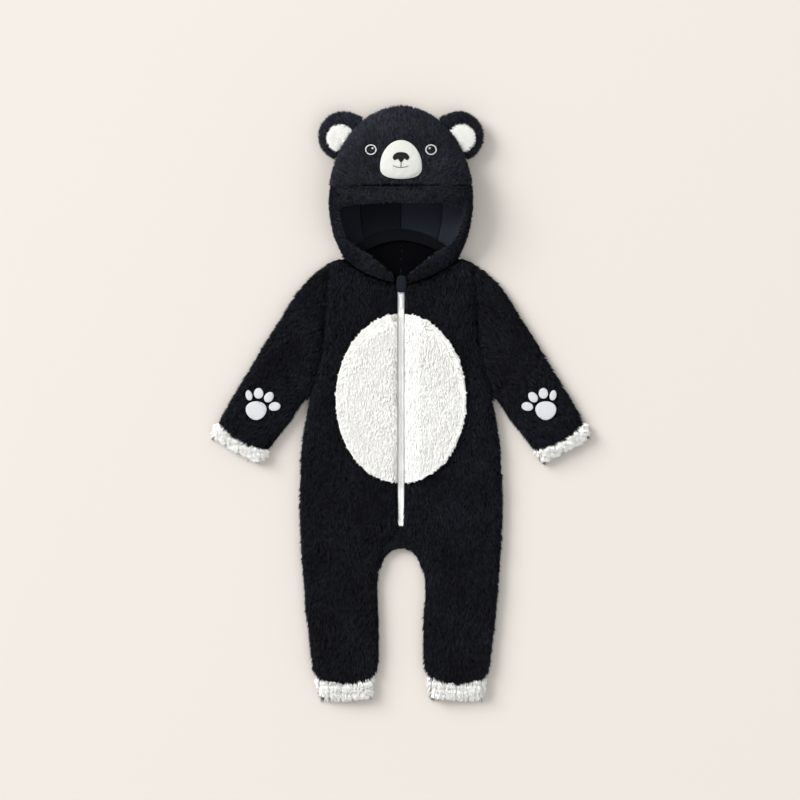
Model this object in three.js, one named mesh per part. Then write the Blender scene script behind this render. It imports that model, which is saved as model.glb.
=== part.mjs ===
import * as THREE from 'three';

// A plush bear romper for a toddler, laid on its back. Millimetres, +Y towards the hood, +Z up.
// Left and right are as seen from above. The halves mirror each other about x = 0.

// Plush wall: knit base, pile and lining together
const WALL = 8;
const HOOD_WALL = 6.5;
const LINING = 1.2;
const SEAM_GAP = 0.3;

// Heights of the flat-laid body
const MID = 8;
const TORSO_RISE = 10.5;
const LEG_RISE = 9.5;
const SLEEVE_RISE = 9.5;
const CUFF_RISE = 7;
const LEG_CUFF = 28.8;
const SLEEVE_CUFF = 19;
const UNDER_ROUND = 9;

// Zip
const ZIP_EDGE = 5.2;
const TAPE_HALF = 10.5;
const TAPE_THICK = 0.9;
const ZIP_TOP = 186;
const ZIP_BOTTOM = -186;

// Hood outline, an ellipse of two halves
const HOOD_HALF = 108.75;
const HOOD_CENTRE = 300;
const HOOD_UP = 143;
const HOOD_DOWN = 135;
const BROW_SEAM = 324;
const CROWN_ANGLE = 86;

const BLACK = 0x17181f;
const LINING_GREY = 0x23262e;
const WHITE = 0xe9e8e2;
const SATIN_WHITE = 0xf0f1f2;

const degrees = Math.PI / 180;

// Rows of a table, each with its columns by name
function table(columns, rows) {
  const names = columns.split(' ');
  return rows.map((row) => Object.fromEntries(names.map((name, i) => [name, row[i]])));
}

// Half of the body from the shoulder to the ankle: side or armhole edge, and zip or inner-leg edge
const BODY_ROWS = table('sideX sideY frontX frontY backX backY', [
  [105.5, 209.5, 92, 214.5, 92, 212],
  [108, 182, 73, 200.5, 80, 217.2],
  [111, 155, 48, 186.5, 51, 237.8],
  [113.5, 128, 26, 178.5, 26, 245.8],
  [115, 100, ZIP_EDGE, 173.5, 0.2, 249.2],
  [120, 65, ZIP_EDGE, 138, 0.2, 160],
  [127, 38, ZIP_EDGE, 95, 0.2, 100],
  [137, 8, ZIP_EDGE, 45, 0.2, 45],
  [149, -57, ZIP_EDGE, -25, 0.2, -25],
  [153, -120, ZIP_EDGE, -95, 0.2, -95],
  [153.5, -165, ZIP_EDGE, -150, 0.2, -150],
  [152, -205, ZIP_EDGE, -186, 2, -186],
  [150.5, -237, 25, -214.5, 25, -214.5],
  [148.5, -262, 32, -252, 32, -252],
  [146, -292, 34.3, -285, 34.3, -285],
  [143, -325, 32, -322, 32, -322],
  [139, -357, 31.3, -357, 31.3, -357],
  [136, -385, 32, -385, 32, -385],
  [133.5, -402, 34.5, -402, 34.5, -402],
  [127, -412, 40, -410, 40, -410],
]);
const UNDERARM_ROW = 7;
const ZIP_TOP_ROW = 4;
const ZIP_END_ROW = 11;
const CROTCH_ROW = 12;
const HEM_SAG = 9;

// Sleeve from the armhole to the wrist; bow is how much of the armhole's curve a row keeps
const SLEEVE_ROWS = table('outerX outerY innerX innerY bow', [
  [106.1, 209.5, 138, 7.6, 1],
  [127.5, 196, 141.5, 4, 0.7],
  [154.5, 168, 147, -4, 0.3],
  [178, 131, 153.5, -14, 0],
  [202.5, 93, 162, -27, 0],
  [226, 54, 174, -42, 0],
  [247, 19, 185, -56, 0],
  [264, -9.5, 193, -66.5, 0],
  [274, -30, 198.6, -72, 0],
]);
const WRIST_SAG = 7;

// Hood heights along its length: where its side seam runs, and the top of the face
const HOOD_HEIGHTS = table('y side top', [
  [213, 11, 11],
  [235, 24, 24],
  [260, 33, 40],
  [300, 38, 58],
  [330, 37, 60],
  [355, 34, 57],
  [385, 28, 48],
  [410, 22.5, 38],
  [430, 18, 27],
  [443, 15, 16],
]);

// Brim around the opening, from the chin to the brow: pile edge, seam and how the wall is turned in
const BRIM_ROWS = table('edgeX edgeY edgeZ seamX seamY tuck puff', [
  [11, 187, 21, 11, 177, 0, 0.5],
  [28, 200.5, 23.5, 28, 182, 0, 1],
  [47, 215.5, 27, 48, 189.8, 0, 1.5],
  [66, 226.5, 31.5, 74, 204, 0.5, 2],
  [82, 240, 36, 89, 220, 1, 3],
  [91, 257, 40, 102.5, 251, 1, 3],
  [95.5, 277, 43, 107.3, 280, 1, 3],
  [96.5, 289, 45, 108.5, 303, 1, 4],
  [88, 294.5, 49, 105.5, 322, 1, 5],
  [68, 298.5, 53, 84, 323.4, 0, 6],
  [42, 301, 56, 50, 323.4, 0, 6],
  [14, 302, 57.5, 16, 323.4, 0, 6],
]);
const NECK_SEAM_Z = 15.5;

// Soft folds of the front: centre, heading in degrees, length, width and depth
const FRONT_FOLDS = table('x y heading length width depth', [
  [100, 55, 62, 95, 16, 1.6],
  [62, -178, 118, 70, 15, 1.5],
  [44, -222, 150, 60, 14, 1.8],
  [118, -240, 95, 90, 18, 1],
  [88, -335, 80, 90, 20, 1.2],
  [52, -375, 60, 50, 14, 1.2],
]);

const MUZZLE = { y: 355, half: 31, up: 37.5, down: 20.5, pinch: 0.02, puff: 5 };
const NOSE = { y: 367.5, half: 12, up: 6.5, down: 8.5, puff: 1.2 };
const EYE = { x: 45, y: 377.2, radius: 8.7, puff: 1.1 };
const EAR = {
  x: 86, y: 398, radius: 37, middle: 17.5, half: 6, round: 10, rootX: 95, rootY: 407, flankX: 53, flankY: 424,
};
const EAR_INNER = { x: 91, y: 395, radius: 19, thick: 1.6, rootX: 97, rootY: 400 };
const BELLY = { y: 4.5, half: 97.5, tall: 129, lift: 1.2, thick: 2 };

// Paw print on the left sleeve: place, size and turn of the pad and the toes
const PAW_SPOTS = table('name x y wide tall turn', [
  ['pad', 217, -13, 31, 29, 0],
  ['toe_1', 188.5, -7.5, 14, 18, -50],
  ['toe_2', 198, 7.5, 15, 16.5, -35],
  ['toe_3', 213.5, 13, 15, 16.5, 0],
  ['toe_4', 228.5, 10, 11, 16, 15],
]);
const PAW_THICK = 1;

const CURVE_END = BODY_ROWS.length - 1;
const curveOf = (rows, x, y) =>
  new THREE.CatmullRomCurve3(rows.map((row) => new THREE.Vector3(row[x], row[y], 0)), false, 'centripetal');
const sideCurve = curveOf(BODY_ROWS, 'sideX', 'sideY');
const frontCurve = curveOf(BODY_ROWS, 'frontX', 'frontY');
const backCurve = curveOf(BODY_ROWS, 'backX', 'backY');
const sleeveOuter = curveOf(SLEEVE_ROWS, 'outerX', 'outerY');
const sleeveInner = curveOf(SLEEVE_ROWS, 'innerX', 'innerY');

const lerp = THREE.MathUtils.lerp;
const clamp = THREE.MathUtils.clamp;
const stretch = (curve, from, to, steps) =>
  Array.from({ length: steps + 1 }, (_, i) => curve.getPoint(lerp(from, to, i / steps)));

// Smooth value of a named column between the rows of a table, by its y
function heightAt(rows, column, y) {
  const last = rows.length - 2;
  let i = rows.findIndex((row) => row.y > y) - 1;
  if (i < 0) i = y < rows[0].y ? 0 : last;
  const slope = (k) => {
    const low = rows[Math.max(k - 1, 0)];
    const high = rows[Math.min(k + 1, rows.length - 1)];
    return (high[column] - low[column]) / (high.y - low.y);
  };
  const [a, b] = [rows[i], rows[i + 1]];
  const span = b.y - a.y;
  const t = clamp((y - a.y) / span, 0, 1);
  return (
    (1 + 2 * t) * (1 - t) ** 2 * a[column] + t * (1 - t) ** 2 * span * slope(i) +
    t * t * (3 - 2 * t) * b[column] + t * t * (t - 1) * span * slope(i + 1)
  );
}

// Distance in the plane from a point to a line of points
function distanceTo(points, x, y) {
  let best = Infinity;
  for (let i = 0; i + 1 < points.length; i += 1) {
    const [a, b] = [points[i], points[i + 1]];
    const [dx, dy] = [b.x - a.x, b.y - a.y];
    const t = clamp(((x - a.x) * dx + (y - a.y) * dy) / (dx * dx + dy * dy), 0, 1);
    best = Math.min(best, Math.hypot(x - a.x - t * dx, y - a.y - t * dy));
  }
  return best;
}

// Quarter round: 0 at a seam, 1 from the radius inwards
const quarterRound = (distance, radius) => Math.sqrt(1 - (1 - clamp(distance / radius, 0, 1)) ** 2);

// Height over a base, pulled down towards each seam to that seam's own rim height
const pulledDown = (rise, seams, x, y) =>
  Math.min(...seams.map(({ line, rim, radius }) => rim + (rise - rim) * quarterRound(distanceTo(line, x, y), radius)));

const rowAt = (row) => row / CURVE_END;
const FRONT_SEAMS = [
  { line: stretch(sideCurve, 0, rowAt(UNDERARM_ROW), 24), rim: 6, radius: 9 },
  { line: stretch(sideCurve, rowAt(UNDERARM_ROW), 1, 36), rim: 0.8, radius: 13 },
  { line: stretch(frontCurve, 0, rowAt(ZIP_TOP_ROW), 16), rim: 7, radius: 7 },
  { line: stretch(frontCurve, rowAt(ZIP_TOP_ROW), rowAt(ZIP_END_ROW), 20), rim: 5, radius: 9 },
  { line: stretch(frontCurve, rowAt(ZIP_END_ROW), rowAt(CROTCH_ROW), 6), rim: 5.5, radius: 8 },
  { line: stretch(frontCurve, rowAt(CROTCH_ROW), 1, 28), rim: 0.8, radius: 13 },
];

// Depth of the soft folds at a point, each a bell across and along its heading
function foldDepth(x, y) {
  return FRONT_FOLDS.reduce((sum, fold) => {
    const [c, s] = [Math.cos(fold.heading * degrees), Math.sin(fold.heading * degrees)];
    const along = ((x - fold.x) * c + (y - fold.y) * s) / (fold.length / 2);
    const across = ((y - fold.y) * c - (x - fold.x) * s) / (fold.width / 2);
    return sum + fold.depth * Math.exp(-(along ** 2) * 1.5 - across ** 2);
  }, 0);
}

function frontRise(x, y) {
  const rise = lerp(LEG_RISE, TORSO_RISE, THREE.MathUtils.smoothstep(y, -260, -120));
  const pulled = pulledDown(rise, FRONT_SEAMS, x, y);
  return pulled - foldDepth(x, y) * clamp((pulled - 4) / 4, 0, 1);
}

// Distances of the columns of a row from its two ends: close together where the edge is round
function columnFractions(length, middles) {
  const edge = [0, 2, 6, 13].map((d) => Math.min(d / length, 0.4));
  const inner = Array.from({ length: middles }, (_, i) => lerp(edge[3], 1 - edge[3], (i + 1) / (middles + 1)));
  return [...edge, ...inner, ...edge.map((d) => 1 - d).reverse()];
}

// One closed solid from its corners and faces, turned so that the faces point out
function solid(corners, faces) {
  const points = corners.map((corner) => new THREE.Vector3(...corner));
  const cross = new THREE.Vector3();
  const volume = faces.reduce((sum, [a, b, c]) => sum + cross.crossVectors(points[b], points[c]).dot(points[a]), 0);
  const geometry = new THREE.BufferGeometry();
  geometry.setAttribute('position', new THREE.Float32BufferAttribute(corners.flat(), 3));
  geometry.setIndex(faces.flatMap((face) => (volume < 0 ? [face[0], face[2], face[1]] : face)));
  geometry.computeVertexNormals();
  return geometry;
}

// A wall between an outer and an inner grid of points; a closed one joins its last column to its first
function wall(outer, inner, closed = false) {
  const rows = outer.length;
  const columns = outer[0].length;
  const corners = [...outer.flat(), ...inner.flat()];
  const at = (layer, i, j) => layer * rows * columns + i * columns + (j % columns);
  const faces = [];
  const quad = (p, q, r, s) => faces.push([p, q, r], [p, r, s]);
  const steps = closed ? columns : columns - 1;
  for (let i = 0; i + 1 < rows; i += 1) {
    for (let j = 0; j < steps; j += 1) {
      quad(at(0, i, j), at(0, i + 1, j), at(0, i + 1, j + 1), at(0, i, j + 1));
      quad(at(1, i, j), at(1, i, j + 1), at(1, i + 1, j + 1), at(1, i + 1, j));
    }
  }
  for (let j = 0; j < steps; j += 1) {
    quad(at(0, 0, j), at(0, 0, j + 1), at(1, 0, j + 1), at(1, 0, j));
    quad(at(0, rows - 1, j), at(1, rows - 1, j), at(1, rows - 1, j + 1), at(0, rows - 1, j + 1));
  }
  if (!closed) {
    for (let i = 0; i + 1 < rows; i += 1) {
      quad(at(0, i, 0), at(1, i, 0), at(1, i + 1, 0), at(0, i + 1, 0));
      const j = columns - 1;
      quad(at(0, i, j), at(0, i + 1, j), at(1, i + 1, j), at(1, i, j));
    }
  }
  return solid(corners, faces);
}

// A solid disc of any outline: rings from the rim to the middle on its top and on its base
function disc(centre, outline, rings, top, base) {
  const sides = outline.length;
  const grid = (height) =>
    rings.flatMap((ring) => outline.map(([x, y]) => {
      const [px, py] = [lerp(centre[0], x, ring), lerp(centre[1], y, ring)];
      return [px, py, height(px, py, ring)];
    }));
  const corners = [
    ...grid(top), ...grid(base),
    [...centre, top(...centre, 0)], [...centre, base(...centre, 0)],
  ];
  const under = rings.length * sides;
  const faces = [];
  for (let j = 0; j < sides; j += 1) {
    const k = (j + 1) % sides;
    for (let i = 0; i + 1 < rings.length; i += 1) {
      const [p, q, r, s] = [i * sides + j, i * sides + k, (i + 1) * sides + k, (i + 1) * sides + j];
      faces.push([p, q, r], [p, r, s], [under + p, under + r, under + q], [under + p, under + s, under + r]);
    }
    const inmost = (rings.length - 1) * sides;
    faces.push([inmost + j, inmost + k, 2 * under], [under + inmost + k, under + inmost + j, 2 * under + 1]);
    faces.push([j, under + j, under + k], [j, under + k, k]);
  }
  return solid(corners, faces);
}

const romper = new THREE.Group();

function add(name, geometry, colour, roughness = 0.95, metalness = 0) {
  const mesh = new THREE.Mesh(geometry, new THREE.MeshStandardMaterial({ color: colour, roughness, metalness }));
  mesh.name = name;
  romper.add(mesh);
  return mesh;
}

// Grid of a half body panel: rows ruled from the side edge to the inner edge, the hem bowed down
function bodyGrid(side, innerCurve, least, height) {
  const rows = 25;
  return Array.from({ length: rows + 1 }, (_, i) => {
    const v = i / rows;
    const from = sideCurve.getPoint(v);
    const to = innerCurve.getPoint(v);
    to.x = Math.max(to.x, least);
    const sag = HEM_SAG * clamp((v * CURVE_END - CURVE_END + 2) / 2, 0, 1) ** 2;
    return columnFractions(from.distanceTo(to), 2).map((u) => {
      const x = lerp(from.x, to.x, u);
      const y = lerp(from.y, to.y, u) - sag * Math.sin(Math.PI * u);
      return [side * x, y, height(x, y)];
    });
  });
}

// The front's inner face is flat on the back, raised over the zip tape
const TAPE_ROOM = { x: TAPE_HALF + 8, y: ZIP_BOTTOM - 30 };
const frontInside = (x, y) => {
  const overTape = x < TAPE_ROOM.x && y > TAPE_ROOM.y ? TAPE_THICK + 2 * SEAM_GAP : 0;
  return MID + SEAM_GAP / 2 + Math.max(overTape, frontRise(x, y) - WALL, 0);
};
const frontOutside = (x, y) => MID + SEAM_GAP / 2 + frontRise(x, y);

const BACK_SEAMS = [
  { line: stretch(sideCurve, 0, rowAt(UNDERARM_ROW), 24), rim: 5, radius: 5 },
  { line: stretch(sideCurve, rowAt(UNDERARM_ROW), 1, 36), rim: 0.8, radius: UNDER_ROUND },
  { line: stretch(backCurve, rowAt(CROTCH_ROW), 1, 28), rim: 0.8, radius: UNDER_ROUND },
];
const BACK_DEPTH = MID - SEAM_GAP / 2;
const backOutside = (x, y) => BACK_DEPTH - pulledDown(BACK_DEPTH, BACK_SEAMS, x, y);

for (const [word, side] of [['left', -1], ['right', 1]]) {
  add(`front_${word}`, wall(
    bodyGrid(side, frontCurve, ZIP_EDGE, frontOutside),
    bodyGrid(side, frontCurve, ZIP_EDGE, frontInside),
  ), BLACK);
  add(`back_${word}`, wall(
    bodyGrid(side, backCurve, SEAM_GAP / 2, backOutside),
    bodyGrid(side, backCurve, SEAM_GAP / 2, () => BACK_DEPTH),
  ), BLACK);
}

// Crotch gusset: a strip folded over the arch between the legs, front triangle, fold and back triangle
function gusset() {
  const half = 24;
  const stations = 9;
  const clear = 0.7;
  const profile = [0, 0.35, 0.7, 1, 1.3, 1.65, 2];
  const grid = (inset) => Array.from({ length: stations }, (_, i) => {
    const x = lerp(-half + 2, half - 2, i / (stations - 1));
    const reach = Math.abs(x) / half;
    const high = lerp(ZIP_BOTTOM - clear, -214.5, reach ** 0.8) - 2 * clear;
    const low = -221 - 0.5 * reach ** 2 + inset;
    const rise = lerp(7, 4.5, reach) - inset;
    const drop = MID - inset;
    return profile.map((t) => {
      const bend = t < 1 ? rise : -drop;
      const turn = Math.min(Math.abs(1 - t) * 1.6, 1);
      const y = lerp(low, high, Math.abs(1 - t) ** 1.6);
      return [x, Math.min(y, high), MID + bend * Math.sin(turn * Math.PI / 2)];
    });
  });
  return wall(grid(0), grid(2.4));
}
add('crotch_gusset', gusset(), BLACK);

// Flattened tube: each row gives its points across, the loop runs over the top and back underneath
function flatTube(side, rows, rise, under) {
  const loop = (row, top, bottom) => [
    ...row.map((p) => [side * p.x, p.y, top(p)]),
    ...row.slice(1, -1).reverse().map((p) => [side * p.x, p.y, bottom(p)]),
  ];
  const outer = rows.map((row) => loop(row, (p) => MID + rise(p.x, p.y), (p) => MID - under(p.x, p.y)));
  const inner = rows.map((row) => {
    const across = new THREE.CatmullRomCurve3(row, false, 'centripetal');
    const inset = (WALL - 1.5) / across.getLength();
    const narrowed = columnFractions(across.getLength(), row.length - 8)
      .map((u) => across.getPointAt(lerp(inset, 1 - inset, u)));
    return loop(narrowed, () => MID + 0.5, () => MID - 0.5);
  });
  return wall(outer, inner, true);
}

const armhole = (u) => sideCurve.getPoint(u * rowAt(UNDERARM_ROW)).add(new THREE.Vector3(2 * SEAM_GAP, 0, 0));

// Points across the sleeve at a place v along it: 0 is the armhole and 1 the wrist
function sleeveRow(v, sag = WRIST_SAG * clamp(8 * v - 7, 0, 1) ** 2) {
  const from = sleeveOuter.getPoint(v);
  const to = sleeveInner.getPoint(v);
  const place = v * (SLEEVE_ROWS.length - 1);
  const low = Math.min(Math.floor(place), SLEEVE_ROWS.length - 2);
  const bow = lerp(SLEEVE_ROWS[low].bow, SLEEVE_ROWS[low + 1].bow, place - low);
  const away = new THREE.Vector3(to.y - from.y, from.x - to.x, 0).normalize();
  return columnFractions(from.distanceTo(to), 3).map((u) => {
    const straight = from.clone().lerp(to, u);
    const chord = armhole(0).lerp(armhole(1), u);
    return straight
      .add(armhole(u).sub(chord).multiplyScalar(bow))
      .addScaledVector(away, -sag * Math.sin(Math.PI * u));
  });
}

const ARMHOLE_LINE = stretch({ getPoint: armhole }, 0, 1, 24);
const SLEEVE_SEAMS = [
  { line: ARMHOLE_LINE, rim: 6, radius: 9 },
  { line: stretch(sleeveOuter, 0, 1, 30), rim: 0, radius: 15 },
  { line: stretch(sleeveInner, 0, 1, 30), rim: 0, radius: 15 },
];
const SLEEVE_UNDER = [
  { line: ARMHOLE_LINE, rim: 5, radius: 5 },
  { line: SLEEVE_SEAMS[1].line, rim: 0, radius: UNDER_ROUND },
  { line: SLEEVE_SEAMS[2].line, rim: 0, radius: UNDER_ROUND },
];
const sleeveRise = (x, y) => pulledDown(SLEEVE_RISE, SLEEVE_SEAMS, x, y);
const sleeveUnder = (x, y) => pulledDown(MID, SLEEVE_UNDER, x, y);

// A cuff: a short flattened tube from the hem line on, narrowing and turned in at its end
function cuff(side, hem, along, long, narrow) {
  const [first, last] = [hem[0], hem[hem.length - 1]];
  const middle = first.clone().add(last).multiplyScalar(0.5);
  const steps = [0, 0.3, 0.65, 0.9, 1];
  const rows = steps.map((t) => hem.map((p) => {
    const start = p.clone().addScaledVector(along, 2 * SEAM_GAP);
    const across = p.clone().sub(middle);
    const bowOut = across.dot(along);
    return start
      .addScaledVector(across.addScaledVector(along, -bowOut), -narrow * t)
      .addScaledVector(along, t * (long - 0.75 * bowOut));
  }));
  const edges = [rows.map((row) => row[0]), rows.map((row) => row[row.length - 1])];
  const seams = (round) => edges.map((line) => ({ line, rim: 0, radius: round }));
  const end = { line: rows[rows.length - 1], rim: 3, radius: 6 };
  const [over, under] = [[...seams(11), end], seams(UNDER_ROUND)];
  const rise = (x, y) => pulledDown(CUFF_RISE, over, x, y);
  return flatTube(side, rows, rise, (x, y) => pulledDown(MID, under, x, y));
}

const hemEnd = BODY_ROWS[CURVE_END];
const hemLength = Math.hypot(hemEnd.sideX - hemEnd.frontX, hemEnd.sideY - hemEnd.frontY);
const legHem = columnFractions(hemLength, 2).map((u) => {
  const y = lerp(hemEnd.sideY, hemEnd.frontY, u) - HEM_SAG * Math.sin(Math.PI * u);
  return new THREE.Vector3(lerp(hemEnd.sideX, hemEnd.frontX, u), y, 0);
});
const downLeg = new THREE.Vector3(0, -1, 0);
const wristHem = sleeveRow(1);
const downSleeve = new THREE.Vector3(
  wristHem[0].y - wristHem[wristHem.length - 1].y,
  wristHem[wristHem.length - 1].x - wristHem[0].x,
  0,
).normalize();

for (const [word, side] of [['left', -1], ['right', 1]]) {
  const rows = Array.from({ length: 14 }, (_, i) => sleeveRow(i / 13));
  add(`sleeve_${word}`, flatTube(side, rows, sleeveRise, sleeveUnder), BLACK);
  add(`sleeve_cuff_${word}`, cuff(side, wristHem, downSleeve, SLEEVE_CUFF, 0.07), WHITE);
  add(`leg_cuff_${word}`, cuff(side, legHem, downLeg, LEG_CUFF, 0.12), WHITE);
}

// Belly patch in two halves: the oval's part beside the zip, lying on the front and moved out from it
function bellyHalf(side) {
  const rows = 16;
  const grid = (height) => Array.from({ length: rows + 1 }, (_, i) => {
    const angle = lerp(-86, 86, i / rows) * degrees;
    const y = BELLY.y + BELLY.tall * Math.sin(angle);
    const reach = BELLY.half * Math.cos(angle) ** (y < BELLY.y ? 0.9 : 1);
    const wide = Math.max(reach - ZIP_EDGE, 3);
    const beside = [0, 2, 6, 13].map((d) => Math.min(d / wide, 0.5));
    const beyond = [0.35, 0.65, 0.92, 1].map((t) => lerp(beside[3], 1, t));
    return [...beside, ...beyond].map((u) => {
      const x = ZIP_EDGE + wide * u;
      return [side * x, y, frontOutside(x, y) + height(u)];
    });
  });
  return wall(
    grid((u) => BELLY.lift + BELLY.thick * (u > 0.99 ? 0.4 : 1)),
    grid(() => BELLY.lift),
  );
}

// Straight bar between two y values: its section is a box with its two upper corners cut by round
function bar(x0, x1, y0, y1, z0, z1, round) {
  const shape = new THREE.Shape();
  shape.moveTo(x0, z0);
  shape.lineTo(x1, z0);
  shape.lineTo(x1, z1 - round);
  shape.lineTo(x1 - round, z1);
  shape.lineTo(x0 + round, z1);
  shape.lineTo(x0, z1 - round);
  shape.closePath();
  const geometry = new THREE.ExtrudeGeometry(shape, { depth: y1 - y0, bevelEnabled: false });
  geometry.rotateX(Math.PI / 2);
  geometry.translate(0, y1, 0);
  return geometry;
}

const TAPE_Z = MID + SEAM_GAP / 2 + SEAM_GAP;
const CHAIN_HALF = 2.7;
const CHAIN_Z = TAPE_Z + TAPE_THICK + SEAM_GAP;
const CHAIN_TOP = CHAIN_Z + 1.9;
for (const [word, side] of [['left', -1], ['right', 1]]) {
  add(`belly_${word}`, bellyHalf(side), WHITE);
  const edges = [side * SEAM_GAP, side * TAPE_HALF].sort((a, b) => a - b);
  add(`zip_tape_${word}`, bar(...edges, ZIP_BOTTOM, ZIP_TOP, TAPE_Z, TAPE_Z + TAPE_THICK, 0.2), WHITE, 0.8);
}
const SLIDER = { y0: 152.5, y1: 162.5, half: 4.4, top: CHAIN_Z + 3.2 };
const CHAIN_END = SLIDER.y0 - 0.5;
add('zip_chain', bar(-CHAIN_HALF, CHAIN_HALF, ZIP_BOTTOM, CHAIN_END, CHAIN_Z, CHAIN_TOP, 0.6), WHITE, 0.45);

// Slider over the chain's top with two ears that carry the pull tab
const HINGE = { y: 160, z: SLIDER.top + 1.7, hole: 1.1 };
function slider() {
  const ear = 0.9;
  const inner = 1.3;
  const shape = new THREE.Shape();
  const outline = [
    [-SLIDER.half, CHAIN_Z], [SLIDER.half, CHAIN_Z], [SLIDER.half, SLIDER.top],
    [inner + ear, SLIDER.top], [inner + ear, HINGE.z + 1.5], [inner, HINGE.z + 1.5], [inner, SLIDER.top],
    [-inner, SLIDER.top], [-inner, HINGE.z + 1.5], [-inner - ear, HINGE.z + 1.5],
    [-inner - ear, SLIDER.top], [-SLIDER.half, SLIDER.top],
  ];
  outline.forEach(([x, z], i) => (i ? shape.lineTo(x, z) : shape.moveTo(x, z)));
  shape.closePath();
  const geometry = new THREE.ExtrudeGeometry(shape, { depth: SLIDER.y1 - SLIDER.y0, bevelEnabled: false });
  geometry.rotateX(Math.PI / 2);
  geometry.translate(0, SLIDER.y1, 0);
  return geometry;
}
add('zip_slider', slider(), SATIN_WHITE, 0.4);

// Pull tab: an eye between the slider's ears and a flat tongue that lies along the zip
function pullTab() {
  const shape = new THREE.Shape();
  const [long, thick] = [19, 0.7];
  shape.absarc(0, 0, HINGE.hole, 60 * degrees, 300 * degrees, true);
  shape.lineTo(-HINGE.hole - 0.6, -thick);
  shape.lineTo(-long, -thick);
  shape.lineTo(-long, thick);
  shape.lineTo(-HINGE.hole - 0.6, thick);
  shape.closePath();
  const geometry = new THREE.ExtrudeGeometry(shape, { depth: 2, bevelEnabled: false, curveSegments: 10 });
  geometry.translate(0, 0, -1);
  geometry.applyMatrix4(new THREE.Matrix4().makeBasis(
    new THREE.Vector3(0, 1, 0), new THREE.Vector3(0, 0, 1), new THREE.Vector3(1, 0, 0),
  ));
  geometry.translate(0, HINGE.y, HINGE.z);
  return geometry;
}
add('zip_pull_tab', pullTab(), SATIN_WHITE, 0.4);

// Chin guard: a padded tab of cloth over the zip's top end, narrower where it goes down between the fronts
const GUARD = { half: 9.5, neck: 4.8, end: 164, shoulder: 176.6, top: 190, z0: CHAIN_Z, z1: 18 };
function chinGuard() {
  const shape = new THREE.Shape();
  const outline = [
    [-GUARD.neck, GUARD.end], [GUARD.neck, GUARD.end], [GUARD.neck, GUARD.shoulder],
    [GUARD.half, GUARD.shoulder], [GUARD.half, GUARD.top], [-GUARD.half, GUARD.top],
    [-GUARD.half, GUARD.shoulder], [-GUARD.neck, GUARD.shoulder],
  ];
  outline.forEach(([x, y], i) => (i ? shape.lineTo(x, y) : shape.moveTo(x, y)));
  shape.closePath();
  const geometry = new THREE.ExtrudeGeometry(shape, { depth: GUARD.z1 - GUARD.z0, bevelEnabled: false });
  geometry.translate(0, 0, GUARD.z0);
  return geometry;
}
add('chin_guard', chinGuard(), LINING_GREY);

// Hood
const hoodHalf = (y, inset = 0) => {
  const tall = (y > HOOD_CENTRE ? HOOD_UP : HOOD_DOWN) - inset;
  return (HOOD_HALF - inset) * Math.sqrt(Math.max(1 - ((y - HOOD_CENTRE) / tall) ** 2, 0));
};
const hoodSide = (y) => heightAt(HOOD_HEIGHTS, 'side', y);

function faceTop(x, y, inset = 0) {
  const half = hoodHalf(y, inset);
  const side = hoodSide(y);
  const dome = Math.sqrt(Math.max(1 - (x / half) ** 2, 0));
  return side + (heightAt(HOOD_HEIGHTS, 'top', y) - inset - side) * dome;
}

// Face panel: rows from the brow seam to the crown, each an arch from side seam to side seam
function hoodFace() {
  const grid = (inset) => {
    const start = Math.asin((BROW_SEAM + SEAM_GAP - HOOD_CENTRE) / (HOOD_UP - inset));
    return Array.from({ length: 11 }, (_, i) => {
      const y = HOOD_CENTRE + (HOOD_UP - inset) * Math.sin(lerp(start, CROWN_ANGLE * degrees, i / 10));
      const half = hoodHalf(y, inset);
      return Array.from({ length: 15 }, (_unused, j) => {
        const x = half * Math.sin(lerp(-90, 90, j / 14) * degrees);
        const rise = inset ? Math.max(faceTop(x, y, inset), hoodSide(y)) : faceTop(x, y);
        return [x, y, rise + SEAM_GAP / 2];
      });
    });
  };
  return wall(grid(0), grid(HOOD_WALL));
}
add('hood_face', hoodFace(), BLACK);

// Back of the hood: a bowl, flat where it rests, whose rim is the side seam
const BOWL_FLAT = 0.52;
const NECK_BACK = 252.5;
const NECK_CORNER = 215.5;
const NECK_BEND = 1.7;
const CROWN_START = 398;
function bowlPoint(u, v, inset) {
  const turn = clamp((Math.abs(u) - BOWL_FLAT) / (1 - BOWL_FLAT), 0, 1) * Math.PI / 2;
  const across = Math.sign(u) * (Math.abs(u) < BOWL_FLAT ? Math.abs(u) : lerp(BOWL_FLAT, 1, Math.sin(turn)));
  const up = 1 - Math.cos(turn);
  const low = lerp(NECK_BACK, NECK_CORNER, Math.abs(across) ** NECK_BEND);
  const top = HOOD_CENTRE + (HOOD_UP - inset) * Math.sin(CROWN_ANGLE * degrees);
  const y = lerp(low, top, Math.sin(v * Math.PI / 2));
  const side = hoodSide(y) - SEAM_GAP / 2;
  const crown = clamp((y - CROWN_START) / (HOOD_CENTRE + HOOD_UP - inset - CROWN_START), 0, 1);
  const floor = lerp(inset, side, 1 - Math.sqrt(1 - crown ** 2));
  return [across * hoodHalf(y, inset), y, lerp(floor, side, up)];
}

const steps = (from, to, count) => Array.from({ length: count + 1 }, (_, i) => lerp(from, to, i / count));
const bowlGrid = (us, vs, inset) => vs.map((v) => us.map((u) => bowlPoint(u, v, inset)));
const BOWL_COLUMNS = [-1, -0.93, -0.85, -0.76, -0.66, -0.52, -0.25, 0, 0.25, 0.52, 0.66, 0.76, 0.85, 0.93, 1];
add('hood_back', wall(
  bowlGrid(BOWL_COLUMNS, steps(0, 1, 12), 0),
  bowlGrid(BOWL_COLUMNS, steps(0, 1, 12), HOOD_WALL),
), BLACK);

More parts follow.
